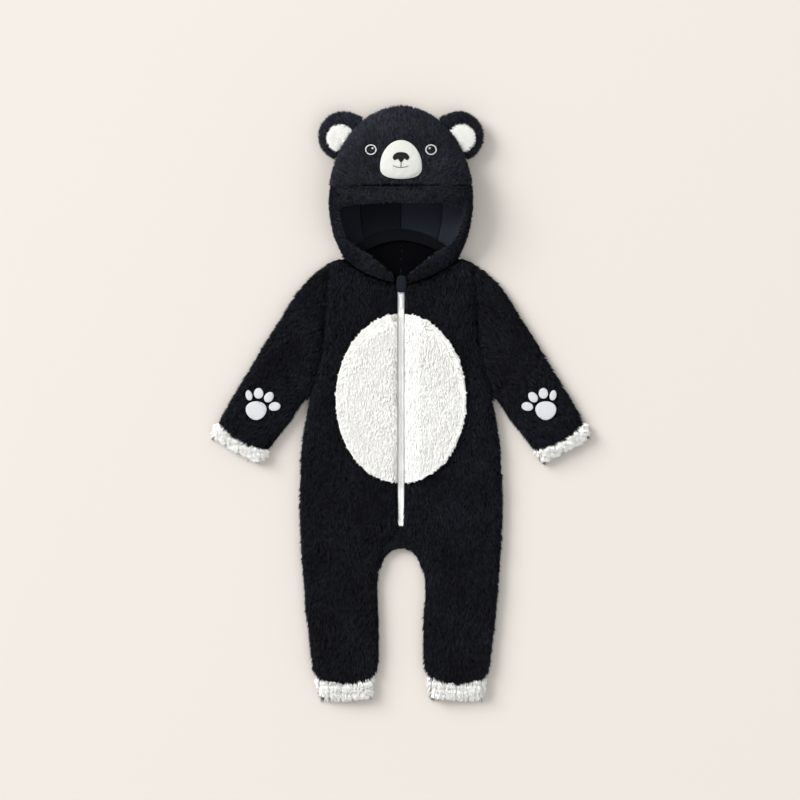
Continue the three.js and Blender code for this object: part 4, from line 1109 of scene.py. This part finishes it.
wall, base = knit_wall("hood_brim_knit", brim_skin(), UP, pile=2.2, knit=1.4)
pile = pile_mesh(
    "hood_brim_pile", base, UP, BRIM_TUFTS, length=6.4, width=1.9, lean=56, nap=over_edge, seed=151
)
lay_plush(wall, pile, HOOD_PLUSH, "hood_brim", ["hood_face", "hood_back"], cut_of(base))

# Hood lining: four panels of brushed jersey inside the back of the hood, with a seam between
# each two. They lie just inside the plush and are seen through the face opening.
LINING_THICK = 1.2
LINING_UNDER = HOOD_WALL + 0.9
LINING_PANELS_WITH_PAINTED_LIGHT = (
    # word, start and end across, and its tone: the same jersey with painted shade on the left and middle
    # under the brim, painted light on the right
    ("left", -0.97, -0.585, "10141C"),
    ("back_left", -0.58, -0.003, "080B12"),
    ("back_right", 0.003, 0.58, "171B24"),
    ("right", 0.585, 0.97, "23272F"),
)
LINING_FOLDS = np.array([
    # x, y, heading in degrees, length, width, depth
    (40, 268, -12, 60, 5, 0.7),
    (30, 290, 84, 40, 9, 0.5),
    (78, 275, 78, 60, 10, 0.8),
    (60, 250, 35, 40, 7, 0.7),
])
LINING_COLOUR = "14181F"


def jersey_material(name, colour, roughness=0.85):
    """Brushed single jersey: smooth and matt, with faint ribs 1.2 mm apart and soft slow tones."""
    material, tree, shader = new_material(name, roughness, 0.1)
    shader.inputs["Sheen Weight"].default_value = 0.03
    place = object_place(tree)
    ribs = add_node(
        tree, "ShaderNodeTexWave", {"bands_direction": "X"}, Vector=place, Scale=260.0, Distortion=0.6
    )
    relief(tree, shader, ribs.outputs["Fac"], 0.25, 0.0003)
    slow = add_node(tree, "ShaderNodeTexNoise", Vector=place, Scale=22.0, Detail=3.0)
    colour_between(tree, shader, slow.outputs[0], colour, 0.8, 1.2)
    return material


lining = jersey_material("dark brushed jersey", LINING_COLOUR)
for word, start, end, tone in LINING_PANELS_WITH_PAINTED_LIGHT:
    v, u = np.meshgrid(np.linspace(0.02, 0.55, 30), np.linspace(start, end, 20), indexing="ij")
    under, over = bowl_point(u, v, LINING_UNDER), bowl_point(u, v, LINING_UNDER + LINING_THICK)
    sunk = 0.5 * fold_depth(np.abs(over[..., 0]), over[..., 1], LINING_FOLDS)
    over[..., 2] += sunk
    under[..., 2] += sunk
    wall = wall_mesh(f"hood_lining_{word}_sheet", over, under)
    # Each panel is a copy of the jersey whose tone is painted light and shade.
    jersey = jersey_material(f"dark brushed jersey, {word}", tone)
    lay_cloth(wall, jersey, "dark_lining", f"hood_lining_{word}", ["hood_back"], cut_of(over))

# Neck tape: a band of the same jersey that covers the seam between hood and back on the inside, coloured near
# black as painted shade of the deep neck.
# It follows the neck's curve and is stitched along both edges.
NECK_REACH, NECK_HALF, NECK_DROP, NECK_THICK = 0.8, 8.2, 1.6, 0.9
NECK_LOW, NECK_PROUD = 8.4, 1.0
v, u = np.meshgrid(np.linspace(-1, 1, 13), np.linspace(-NECK_REACH, NECK_REACH, 70), indexing="ij")
seam = bowl_point(u, 0 * v, LINING_UNDER)
stitched = 0.35 * np.exp(-(((np.abs(v) - 0.75) / 0.12) ** 2))
raised = np.maximum(seam[..., 2], NECK_LOW) + NECK_PROUD - stitched - 0.25 * np.abs(v) ** 8
over = np.stack([seam[..., 0], seam[..., 1] - NECK_DROP + NECK_HALF * v, raised], axis=-1)
wall = wall_mesh("neck_tape_band", over, over - (0, 0, NECK_THICK))
# The tape's near-black colour is painted shade.
lay_cloth(
    wall, jersey_material("dark jersey neck tape", "04050A"), "dark_lining", "neck_tape",
    ["back_left", "back_right", "hood_back"], cut_of(over),
)

# Ears: two layers of black plush sewn together and lightly stuffed, set into the hood's side
# seam. A white plush inner, cut off straight by that seam, is sewn on the front of each.
EAR = {"x": 86.0, "y": 398.0, "radius": 37.0, "middle": 17.5, "half": 6.0, "round": 10.0}
EAR_ROOT, EAR_FLANK = (95.0, 407.0), (53.0, 424.0)
EAR_INNER = {"x": 91.0, "y": 395.0, "radius": 19.0}
EAR_INNER_ROOT = (97.0, 400.0)
EAR_PILE = 2.2
EAR_TUFTS, EAR_INNER_TUFTS = 5200, 1700
PILLOW_RINGS = 14


def ear_depth(x, y):
    """Depth inside the ear's outline: a circle, and a flank that tapers from it to a point."""
    dx, dy = EAR_FLANK[0] - EAR["x"], EAR_FLANK[1] - EAR["y"]
    depths = [
        EAR["radius"] * (1 - t) - np.hypot(x - EAR["x"] - t * dx, y - EAR["y"] - t * dy)
        for t in np.linspace(0, 1, 11)
    ]
    return np.max(depths, axis=0)


def ray_outline(root, inside, sides=72, step=0.1, most=90):
    """Outline from rays that leave a root point and end where the test inside first fails."""
    angle = np.linspace(0, 2 * np.pi, sides, endpoint=False)
    way = np.stack([np.cos(angle), np.sin(angle)], axis=-1)
    reach = np.arange(0, most, step)[:, None]
    x, y = root[0] + reach * way[:, 0], root[1] + reach * way[:, 1]
    stop = np.argmin(inside(x, y), axis=0) * step
    return np.array(root) + stop[:, None] * way


def off_the_hood(x, y, gap):
    """True outside the hood's outline, by a gap."""
    return (np.abs(x) > hood_half(y) + gap) | (y > HOOD_CENTRE + HOOD_UP)


def pillow_grid(centre, outline, top, base, rings=PILLOW_RINGS):
    """Rings from the middle of the top out to the rim, and from the rim back to the middle below."""
    share = np.sin(np.linspace(0, np.pi / 2, rings))[:, None]
    x = centre[0] + (outline[:, 0] - centre[0]) * share
    y = centre[1] + (outline[:, 1] - centre[1]) * share
    share = share + 0 * x
    over = np.stack([x, y, top(x, y, share)], axis=-1)
    under = np.stack([x, y, base(x, y, share)], axis=-1)
    return np.concatenate([over, under[::-1]])


def closed_part(grid):
    """Points and triangles of a grid of closed rows, whose first and last row shrink to poles."""
    rows, sides = grid.shape[:2]
    points = np.vstack([grid[0].mean(axis=0), grid[1:-1].reshape(-1, 3), grid[-1].mean(axis=0)])
    index = 1 + np.arange((rows - 2) * sides).reshape(rows - 2, sides)
    index = np.concatenate([index, index[:, :1]], axis=1)
    a, b, c, d = index[:-1, :-1], index[1:, :-1], index[1:, 1:], index[:-1, 1:]
    pole = np.zeros(sides, dtype=int)
    faces = np.concatenate([
        np.stack([a, b, c], axis=-1).reshape(-1, 3),
        np.stack([a, c, d], axis=-1).reshape(-1, 3),
        np.stack([pole, index[0, :-1], index[0, 1:]], axis=-1),
        np.stack([pole + len(points) - 1, index[-1, 1:], index[-1, :-1]], axis=-1),
    ])
    return facing_out(points, faces)


def facing_out(points, faces):
    """Turns the triangles of a closed part outwards: the sum of its signed volumes is positive."""
    p, q, r = (points[faces[:, k]] - points.mean(axis=0) for k in range(3))
    return points, faces if np.sum(p * np.cross(q, r)) > 0 else faces[:, ::-1]


def sewn_piece(name, parts, material, node=None, body="garment"):
    """One piece from closed parts; it takes the place of a node if one is given."""
    starts = np.cumsum([0] + [len(points) for points, _ in parts[:-1]])
    points = np.concatenate([points for points, _ in parts])
    faces = np.concatenate([faces + start for start, (_, faces) in zip(starts, parts)])
    piece = new_mesh(name, points, faces)
    dress(piece, material, body)
    if node:
        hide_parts(node)


ear_outline = ray_outline(
    EAR_ROOT, lambda x, y: (ear_depth(x, y) > EAR_PILE) & off_the_hood(x, y, 0.8)
)
inner_outline = ray_outline(
    EAR_INNER_ROOT,
    lambda x, y: (np.hypot(x - EAR_INNER["x"], y - EAR_INNER["y"]) < EAR_INNER["radius"] - 1.2)
    & off_the_hood(x, y, 1.2),
)


def ear_height(x, y, inset=0.0):
    """Half thickness of the ear: a quarter round in from its rim."""
    near = 1 - np.clip((ear_depth(np.abs(x), y) - inset + 0.6) / EAR["round"], 0, 1)
    return (EAR["half"] - inset * 0.8) * np.sqrt(1 - near**2)


def off_the_inner(points):
    """True where the ear has its own pile: everywhere but under the white inner."""
    apart = np.hypot(np.abs(points[:, 0]) - EAR_INNER["x"], points[:, 1] - EAR_INNER["y"])
    return apart > np.where(points[:, 2] > EAR["middle"], EAR_INNER["radius"] - 2, 0)


for word, side in SIDES:
    grid = pillow_grid(
        EAR_ROOT, ear_outline,
        lambda x, y, ring: EAR["middle"] + ear_height(x, y, EAR_PILE),
        lambda x, y, ring: EAR["middle"] - 0.3 - ear_height(x, y, EAR_PILE),
    ) * (side, 1, 1)
    sewn_piece(f"ear_{word}_core", [closed_part(grid)], black_knit, f"ear_{word}")
    pile = pile_mesh(
        f"ear_{word}_pile", grid, ROUND, EAR_TUFTS, length=5.6, width=1.8, lean=58,
        nap=fan_from(side * 70, 385), seed=161 + side, closed=True, keep=off_the_inner,
    )
    dress(pile, hood_pile)
    grid = pillow_grid(
        EAR_INNER_ROOT, inner_outline,
        lambda x, y, ring: EAR["middle"] + ear_height(x, y) - 0.6 - 0.8 * ring**6,
        lambda x, y, ring: EAR["middle"] + ear_height(x, y, EAR_PILE) + 0.2,
    ) * (side, 1, 1)
    sewn_piece(
        f"ear_inner_{word}_knit", [closed_part(grid)], white_knit,
        f"ear_inner_{word}",
    )
    pile = pile_mesh(
        f"ear_inner_{word}_pile", grid[:PILLOW_RINGS], UP, EAR_INNER_TUFTS, length=5.0, width=2.0, lean=52,
        nap=fan_from(side * 88, 392), seed=171 + side, closed=True,
    )
    dress(pile, white_pile)

# Muzzle: a padded oval of short-pile velboa, stitched around its edge on the face panel.
# Egg-shaped, blunter below, about five millimetres thick.
MUZZLE_COLOUR, MUZZLE_BLUNT = "C2C2BD", 0.62


def egg_outline(centre, half, up, down, pinch=0.0, blunt=1.0, sides=64):
    """Egg: half width times cosine, less towards the top by pinch; heights times sine, blunter below."""
    angle = np.linspace(0, 2 * np.pi, sides, endpoint=False)
    c, s = np.cos(angle), np.sin(angle)
    x = centre[0] + half * c * (1 - pinch * s)
    y = centre[1] + np.where(s > 0, up * s, -down * np.abs(s) ** blunt)
    return np.stack([x, y], axis=-1)


def muzzle_height(x, y):
    """Top of the muzzle: the face, a low rim, and a dome of half a circle's shape."""
    ring = np.clip(muzzle_ring(x, y), 0, 1)
    return face_top(x, y) + 0.6 + MUZZLE["puff"] * (0.16 + 0.84 * (1 - ring**2.2) ** 0.5)


def velboa_material(name, colour):
    """Velboa: a dense white pile a millimetre high, with a fine grain and slow dimples."""
    material, tree, shader = new_material(name, 0.9)
    shader.inputs["Base Color"].default_value = linear(colour)
    shader.inputs["Sheen Weight"].default_value = 0.25
    shader.inputs["Subsurface Weight"].default_value = 0.15
    shader.inputs["Subsurface Radius"].default_value = (0.002, 0.002, 0.002)
    shader.inputs["Subsurface Scale"].default_value = 1.0
    place = object_place(tree)
    grain = add_node(tree, "ShaderNodeTexNoise", Vector=place, Scale=900.0, Detail=2.0)
    dimples = add_node(tree, "ShaderNodeTexNoise", Vector=place, Scale=110.0, Detail=2.0)
    fine = add_node(tree, "ShaderNodeBump", Height=grain.outputs[0], Strength=0.7, Distance=0.0009)
    soft = add_node(
        tree, "ShaderNodeBump", Height=dimples.outputs[0], Strength=0.6, Distance=0.0026,
        Normal=fine.outputs["Normal"],
    )
    tree.links.new(soft.outputs["Normal"], shader.inputs["Normal"])
    return material


velboa = velboa_material("white velboa", MUZZLE_COLOUR)
outline = egg_outline(
    (0, MUZZLE["y"]), MUZZLE["half"], MUZZLE["up"], MUZZLE["down"], MUZZLE["pinch"], MUZZLE_BLUNT
)
grid = pillow_grid(
    (0, MUZZLE["y"]), outline,
    lambda x, y, ring: muzzle_height(x, y),
    lambda x, y, ring: face_top(x, y) - 1.5,
)
sewn_piece("muzzle_pad", [closed_part(grid)], velboa, "muzzle")

# Nose and mouth: embroidered on the muzzle in black rayon thread. The nose is a filled shape with
# two round lobes and a tip, the mouth a thin cord line down from it and a shallow smile.
NOSE_MIDDLE = (0, 368.0)
NOSE_HALF = np.array([
    (0, 373.5), (5, 372.9), (9, 371), (11.6, 368.1), (12.4, 365.4), (11.5, 362.8), (9.2, 361.3), (7.2, 362),
    (5, 363.4), (3.2, 361.2), (1.4, 358.9), (0, 357.5),
])
MOUTH = np.array([
    (-12, 352.8), (-8, 351.3), (-4, 350.5), (0, 350.3), (4, 350.6), (8, 351.5), (10.8, 352.8),
])
BLACK_THREAD, WHITE_THREAD = "08080B", "CACBCD"


def satin_material(name, colour, roughness, turn=0.0, threads_per_metre=300.0):
    """Rayon satin stitch: threads laid side by side, drawn a millimetre wide so that they show.

    They are glossy along their length, with small breaks where a stitch ends.
    """
    material, tree, shader = new_material(name, roughness, 0.12)
    laid = add_node(tree, "ShaderNodeMapping", {"vector_type": "POINT"}, Vector=object_place(tree))
    laid.inputs["Rotation"].default_value = (0, 0, turn)
    threads = add_node(
        tree, "ShaderNodeTexWave", {"bands_direction": "X"}, Vector=laid.outputs["Vector"],
        Scale=threads_per_metre, Distortion=1.2, Detail=1.0,
    )
    relief(tree, shader, threads.outputs["Fac"], 0.5, 0.0005)
    # The colour follows the threads' relief: painted shade in the grooves between them, painted light on
    # their crowns.
    colour_between(tree, shader, threads.outputs["Fac"], colour, 0.8, 1.08)
    return material


black_satin = satin_material("black rayon satin stitch", BLACK_THREAD, 0.5)
white_satin = satin_material("white rayon satin stitch", WHITE_THREAD, 0.42, turn=0.6)


def tube_part(path, radius, sides=8):
    """Closed tube along a path of points: circles square to it, shrinking to a pole at each end."""
    path = np.asarray(path, dtype=float)
    way = np.gradient(path, axis=0)
    way /= np.linalg.norm(way, axis=-1, keepdims=True)
    up = np.where(np.abs(way[:, 2:3]) > 0.9, (1.0, 0, 0), (0, 0, 1.0))
    across = np.cross(way, up)
    across /= np.linalg.norm(across, axis=-1, keepdims=True)
    upright = np.cross(across, way)
    angle = np.linspace(0, 2 * np.pi, sides, endpoint=False)[None, :, None]
    circles = np.cos(angle) * across[:, None] + np.sin(angle) * upright[:, None]
    rows = path[:, None] + radius * circles
    first = path[:1, None] - 0.5 * radius * way[:1, None] + 0 * circles[:1]
    last = path[-1:, None] + 0.5 * radius * way[-1:, None] + 0 * circles[-1:]
    return closed_part(np.concatenate([first, rows, last]))


def on_muzzle(points, lift):
    """Points of the plane raised to the muzzle's surface."""
    points = np.asarray(points, dtype=float)
    return np.column_stack([points, muzzle_height(points[:, 0], points[:, 1]) + lift])


nose_outline = np.concatenate([NOSE_HALF[:-1], NOSE_HALF[:0:-1] * (-1, 1), NOSE_HALF[:1]])
nose_outline = through(nose_outline, np.linspace(0, len(nose_outline) - 1, 89))[:-1]
grid = pillow_grid(
    NOSE_MIDDLE, nose_outline,
    lambda x, y, ring: muzzle_height(x, y) + 0.35 + 0.9 * np.sqrt(np.maximum(1 - ring**3, 0)),
    lambda x, y, ring: muzzle_height(x, y) - 0.6, rings=9,
)
mouth_places = np.linspace(0, len(MOUTH) - 1, 30)
philtrum = np.column_stack([np.zeros(9), np.linspace(358.6, 350.4, 9)])
parts = [
    closed_part(grid),
    tube_part(on_muzzle(through(MOUTH, mouth_places), 0.15), 0.42),
    tube_part(on_muzzle(philtrum, 0.2), 0.5),
]
sewn_piece("nose_stitched", parts, black_satin, "nose")

# Eyes: embroidered on the plush, a white ring around a black pupil with one small white glint.
RING_OUT, RING_IN, PUPIL, GLINT = 8.7, 6.7, 5.8, 1.5
EYE_SQUASH = 0.92
GLINTS = {"left": (2.4, 2.2), "right": (-2.2, 2.2)}


def disc_part(centre, radius, low, high, crown, rings=8, sides=40):
    """Oval pad on the face, from a low to a high level, with a crown of half a circle's shape."""
    tall = radius * EYE_SQUASH
    grid = pillow_grid(
        centre, egg_outline(centre, radius, tall, tall, sides=sides),
        lambda x, y, ring: face_top(x, y) + high + crown * np.sqrt(np.maximum(1 - ring**2, 0)),
        lambda x, y, ring: face_top(x, y) + low, rings,
    )
    return closed_part(grid)


def looped_part(grid):
    """Points and triangles of a grid that is closed on itself both ways."""
    rows, sides = grid.shape[:2]
    index = np.pad(np.arange(rows * sides).reshape(rows, sides), ((0, 1), (0, 1)), mode="wrap")
    a, b, c, d = index[:-1, :-1], index[1:, :-1], index[1:, 1:], index[:-1, 1:]
    faces = np.concatenate([np.stack(k, axis=-1).reshape(-1, 3) for k in ((a, b, c), (a, c, d))])
    return facing_out(grid.reshape(-1, 3), faces)


def ring_part(centre, inner, outer, height, sides=48, steps=9):
    """Closed ring: a half sine over its width on top of a floor, both following the face."""
    t = np.linspace(0, 1, steps)[:, None]
    angle = np.linspace(0, 2 * np.pi, sides, endpoint=False)[None, :]
    radius = inner + (outer - inner) * t
    x, y = centre[0] + radius * np.cos(angle), centre[1] + EYE_SQUASH * radius * np.sin(angle)
    over = np.stack([x, y, face_top(x, y) + 0.1 + height * np.sin(np.pi * t) ** 0.6 + 0 * x], axis=-1)
    under = np.stack([x, y, face_top(x, y) - 2.0], axis=-1)
    return looped_part(np.concatenate([over, under[::-1]]))


for word, side in SIDES:
    centre = (side * EYE["x"], EYE["y"])
    pupil = disc_part(centre, PUPIL, -2.0, 0.2, 0.9)
    sewn_piece(f"eye_{word}_pupil", [pupil], black_satin, f"eye_{word}")
    glint = disc_part(np.add(centre, GLINTS[word]), GLINT, 0.0, 1.0, 0.6, rings=5, sides=16)
    ring = ring_part(centre, RING_IN, RING_OUT, 1.0)
    sewn_piece(f"eye_{word}_ring", [ring, glint], white_satin)

# Paw prints: one pad and four toes on each sleeve above the cuff, filled with white satin stitch
# that stands a millimetre proud and is pulled in a little along its edge.
for word, side in SIDES:
    for name, (x0, y0, wide, tall, turn) in PAW_SPOTS.items():
        c, s = np.cos(np.radians(turn)), np.sin(np.radians(turn))
        egg = egg_outline((0, 0), wide / 2, tall / 2, tall / 2, -0.14 if name == "pad" else 0.06)
        outline = np.add((x0, y0), egg @ ((c, s), (-s, c)))
        grid = pillow_grid(
            (x0, y0), outline,
            lambda x, y, ring: MID + sleeve_rise(x, y) + 0.5 + 1.1 * np.sqrt(np.maximum(1 - ring**4, 0)),
            lambda x, y, ring: MID + sleeve_rise(x, y) - 2.6, rings=10,
        ) * (side, 1, 1)
        sewn_piece(
            f"paw_{name}_{word}_stitched", [closed_part(grid)], white_satin,
            f"paw_{name}_{word}",
        )

# Zip: two white woven tapes with a fine nylon coil between them, from the crotch to the throat.
# The tapes are sewn under the plush, which leaves a clean strip about ten millimetres wide.
ZIP_BOTTOM = -186.0
TAPE_ACROSS = np.array([0.12, 0.3, 0.6, 1, 2.2, 3.6, 4.4, 4.8, 5.2, 5.6, 6.4, 8, 10.5])
TAPE_Z, TAPE_THICK, TAPE_END = 8.45, 0.9, 174.0
TAPE_LIFT, TAPE_SHOULDER = 2.6, 5.3
COIL_TOP, COIL_HALF, COIL_PITCH = 152.0, 2.5, 1.5
COIL_Z = 10.1


def tape_material(name, colour):
    """Polyester zip tape: a flat herringbone weave of white yarn, ribs a millimetre apart."""
    material, tree, shader = new_material(name, 0.75)
    weave = add_node(
        tree, "ShaderNodeTexWave", {"bands_direction": "DIAGONAL"}, Vector=object_place(tree), Scale=320.0
    )
    relief(tree, shader, weave.outputs["Fac"], 0.3, 0.0003)
    # The colour follows the weave's relief: painted shade in its grooves.
    colour_between(tree, shader, weave.outputs["Fac"], colour, 0.93, 1)
    return material


def nylon_material(name, colour, roughness):
    """Injection-moulded or drawn nylon: slightly glossy and a little cloudy inside."""
    material, tree, shader = new_material(name, roughness)
    shader.inputs["Subsurface Weight"].default_value = 0.2
    shader.inputs["Subsurface Radius"].default_value = (0.001, 0.001, 0.001)
    shader.inputs["Subsurface Scale"].default_value = 1.0
    cloud = add_node(tree, "ShaderNodeTexNoise", Vector=object_place(tree), Scale=300.0, Detail=2.0)
    colour_between(tree, shader, cloud.outputs[0], colour, 0.92, 1)
    return material


woven_tape = tape_material("white woven zip tape", "FDFDFB")
nylon = nylon_material("white nylon", "F4F4F3", 0.4)
for word, side in SIDES:
    y, x = np.meshgrid(np.linspace(ZIP_BOTTOM, TAPE_END, 120), TAPE_ACROSS, indexing="ij")
    rolled = np.clip((TAPE_SHOULDER - x) / 1.1, 0, 1)
    middle_groove = 0.5 * np.exp(-((x / 0.35) ** 2))
    lift = TAPE_LIFT * rolled**2 * (3 - 2 * rolled) - middle_groove + 0.1 * np.sin(y / 9 + side)
    under = np.stack([side * x, y, TAPE_Z + lift], axis=-1)
    tape = wall_mesh(f"zip_tape_{word}_woven", under + (0, 0, TAPE_THICK), under)
    lay_cloth(tape, woven_tape, "zip_tape", f"zip_tape_{word}", [f"back_{word}"], cut_of(under))


def coil_teeth():
    """Coil of the zip as rounded bars: two rows half a pitch apart that reach past the middle."""
    stations = [(COIL_HALF, 0.0), (COIL_HALF - 0.15, 0.42), (0.4, 0.46), (-0.7, 0.5), (-0.85, 0.0)]
    angle = np.linspace(0, 2 * np.pi, 6, endpoint=False)
    ring = np.stack([0 * angle, np.cos(angle), 1.6 * np.sin(angle)], axis=-1)
    points, faces = closed_part(np.stack([ring * r + (x, 0, 0) for x, r in stations]))
    y = np.arange(ZIP_BOTTOM + 1, COIL_TOP - 0.5, COIL_PITCH)
    parts = []
    for side, shift in ((-1, 0.0), (1, COIL_PITCH / 2)):
        places = np.stack([0 * y, y + shift, COIL_Z + 0 * y], axis=-1)
        row = (points * (side, 1, 1))[None] + places[:, None]
        turned = faces if side > 0 else faces[:, ::-1]
        all_faces = turned[None] + len(points) * np.arange(len(y))[:, None, None]
        parts.append((row.reshape(-1, 3), all_faces.reshape(-1, 3)))
    return parts


sewn_piece("zip_coil", coil_teeth(), nylon, "zip_chain")

# Slider and pull tab: moulded white nylon. The slider's body straddles the coil and carries two
# ears with a pin, and the pull tab hangs on that pin by its eye and lies down along the zip.
SLIDER_Y, SLIDER_HALF, SLIDER_LONG = 157.5, 4.4, 5.0
SLIDER_LOW, SLIDER_TOP = 9.75, 12.85
PIN_Y, PIN_Z, PIN_RADIUS = 160.0, 14.55, 0.55
TAB_LONG, TAB_THICK, TAB_EYE = 19.0, 1.2, 1.5
EAR_OUT, EAR_THICK = 1.8, 0.8


def plate_part(outline, centre, low, high, order):
    """Flat plate with rounded rims from an outline in two axes; order says which axes they are."""
    half = (high - low) / 2
    grid = pillow_grid(
        centre, outline,
        lambda a, b, ring: low + half + half * np.maximum(1 - ring**10, 0) ** 0.5,
        lambda a, b, ring: low + half - half * np.maximum(1 - ring**10, 0) ** 0.5,
        rings=9,
    )
    return closed_part(grid[..., order])


angle = np.linspace(0, 2 * np.pi, 40, endpoint=False)
blunt = np.stack([np.sign(f) * np.abs(f) ** 0.6 for f in (np.cos(angle), np.sin(angle))], axis=-1)
body = blunt * (SLIDER_HALF, SLIDER_LONG) + (0, SLIDER_Y)
body[:, 0] *= 1 - 0.16 * (SLIDER_Y - body[:, 1]) / SLIDER_LONG
parts = [plate_part(body, (0, SLIDER_Y), SLIDER_LOW, SLIDER_TOP, [0, 1, 2])]
ear = blunt * (2.4, 1.9) + (PIN_Y - 0.5, PIN_Z - 0.45)
for side in (-1, 1):
    low = side * EAR_OUT - EAR_THICK / 2
    parts.append(plate_part(ear, (PIN_Y - 0.5, PIN_Z - 0.45), low, low + EAR_THICK, [2, 0, 1]))
parts.append(tube_part([(x, PIN_Y, PIN_Z) for x in np.linspace(-EAR_OUT, EAR_OUT, 5)], PIN_RADIUS))
sewn_piece("zip_slider_moulded", parts, nylon, "zip_slider")


def eye_part(sides=28, steps=12):
    """Eye of the pull tab: a closed ring about the pin, its section a blunt box."""
    turn = np.linspace(0, 2 * np.pi, sides, endpoint=False)
    around = np.linspace(0, 2 * np.pi, steps, endpoint=False)[:, None]
    wide, thick = 0.95, (TAB_EYE - PIN_RADIUS - 0.1) / 2
    across = wide * np.sign(np.cos(around)) * np.abs(np.cos(around)) ** 0.5
    radius = PIN_RADIUS + 0.1 + thick + thick * np.sign(np.sin(around)) * np.abs(np.sin(around)) ** 0.5
    y, z = PIN_Y + radius * np.cos(turn), PIN_Z + radius * np.sin(turn)
    return looped_part(np.stack([across + 0 * turn, y, z], axis=-1))


t = np.linspace(0, 1, 30)
half_width = 0.95 + 0.9 * np.clip((t - 0.1) / 0.5, 0, 1) ** 2
half_width *= np.sqrt(np.clip((1.0 - t) / 0.08, 0, 1)) ** 0.8
tongue_y = PIN_Y - TAB_EYE + 0.3 - (TAB_LONG - TAB_EYE) * t
tongue = np.column_stack([half_width, tongue_y])
tongue = np.concatenate([tongue, tongue[-2::-1] * (-1, 1)])
middle = (0, PIN_Y - TAB_EYE - (TAB_LONG - TAB_EYE) / 2)
tongue = plate_part(tongue, middle, PIN_Z - TAB_THICK / 2, PIN_Z + TAB_THICK / 2, [0, 1, 2])
sewn_piece("pull_tab_moulded", [eye_part(), tongue], nylon, "zip_pull_tab", body="pull_tab")

# Chin guard: a small padded tab of the dark jersey, sewn in at the throat, that covers the zip's
# top end so that the slider can't touch the skin.
GUARD_HALF, GUARD_LOW, GUARD_HIGH, GUARD_TOP = 7.6, 164.0, 189.5, 18.6
middle = (0.6, (GUARD_LOW + GUARD_HIGH) / 2)
outline = blunt * (GUARD_HALF, (GUARD_HIGH - GUARD_LOW) / 2) + middle
grid = pillow_grid(
    middle, outline,
    lambda x, y, ring: GUARD_TOP - 1.6 * ring**4 - 0.35 * np.exp(-(((ring - 0.86) / 0.05) ** 2)),
    lambda x, y, ring: GUARD_TOP - 3.4 + 0 * x, rings=16,
)
sewn_piece("chin_guard_padded", [closed_part(grid)], lining, "chin_guard")
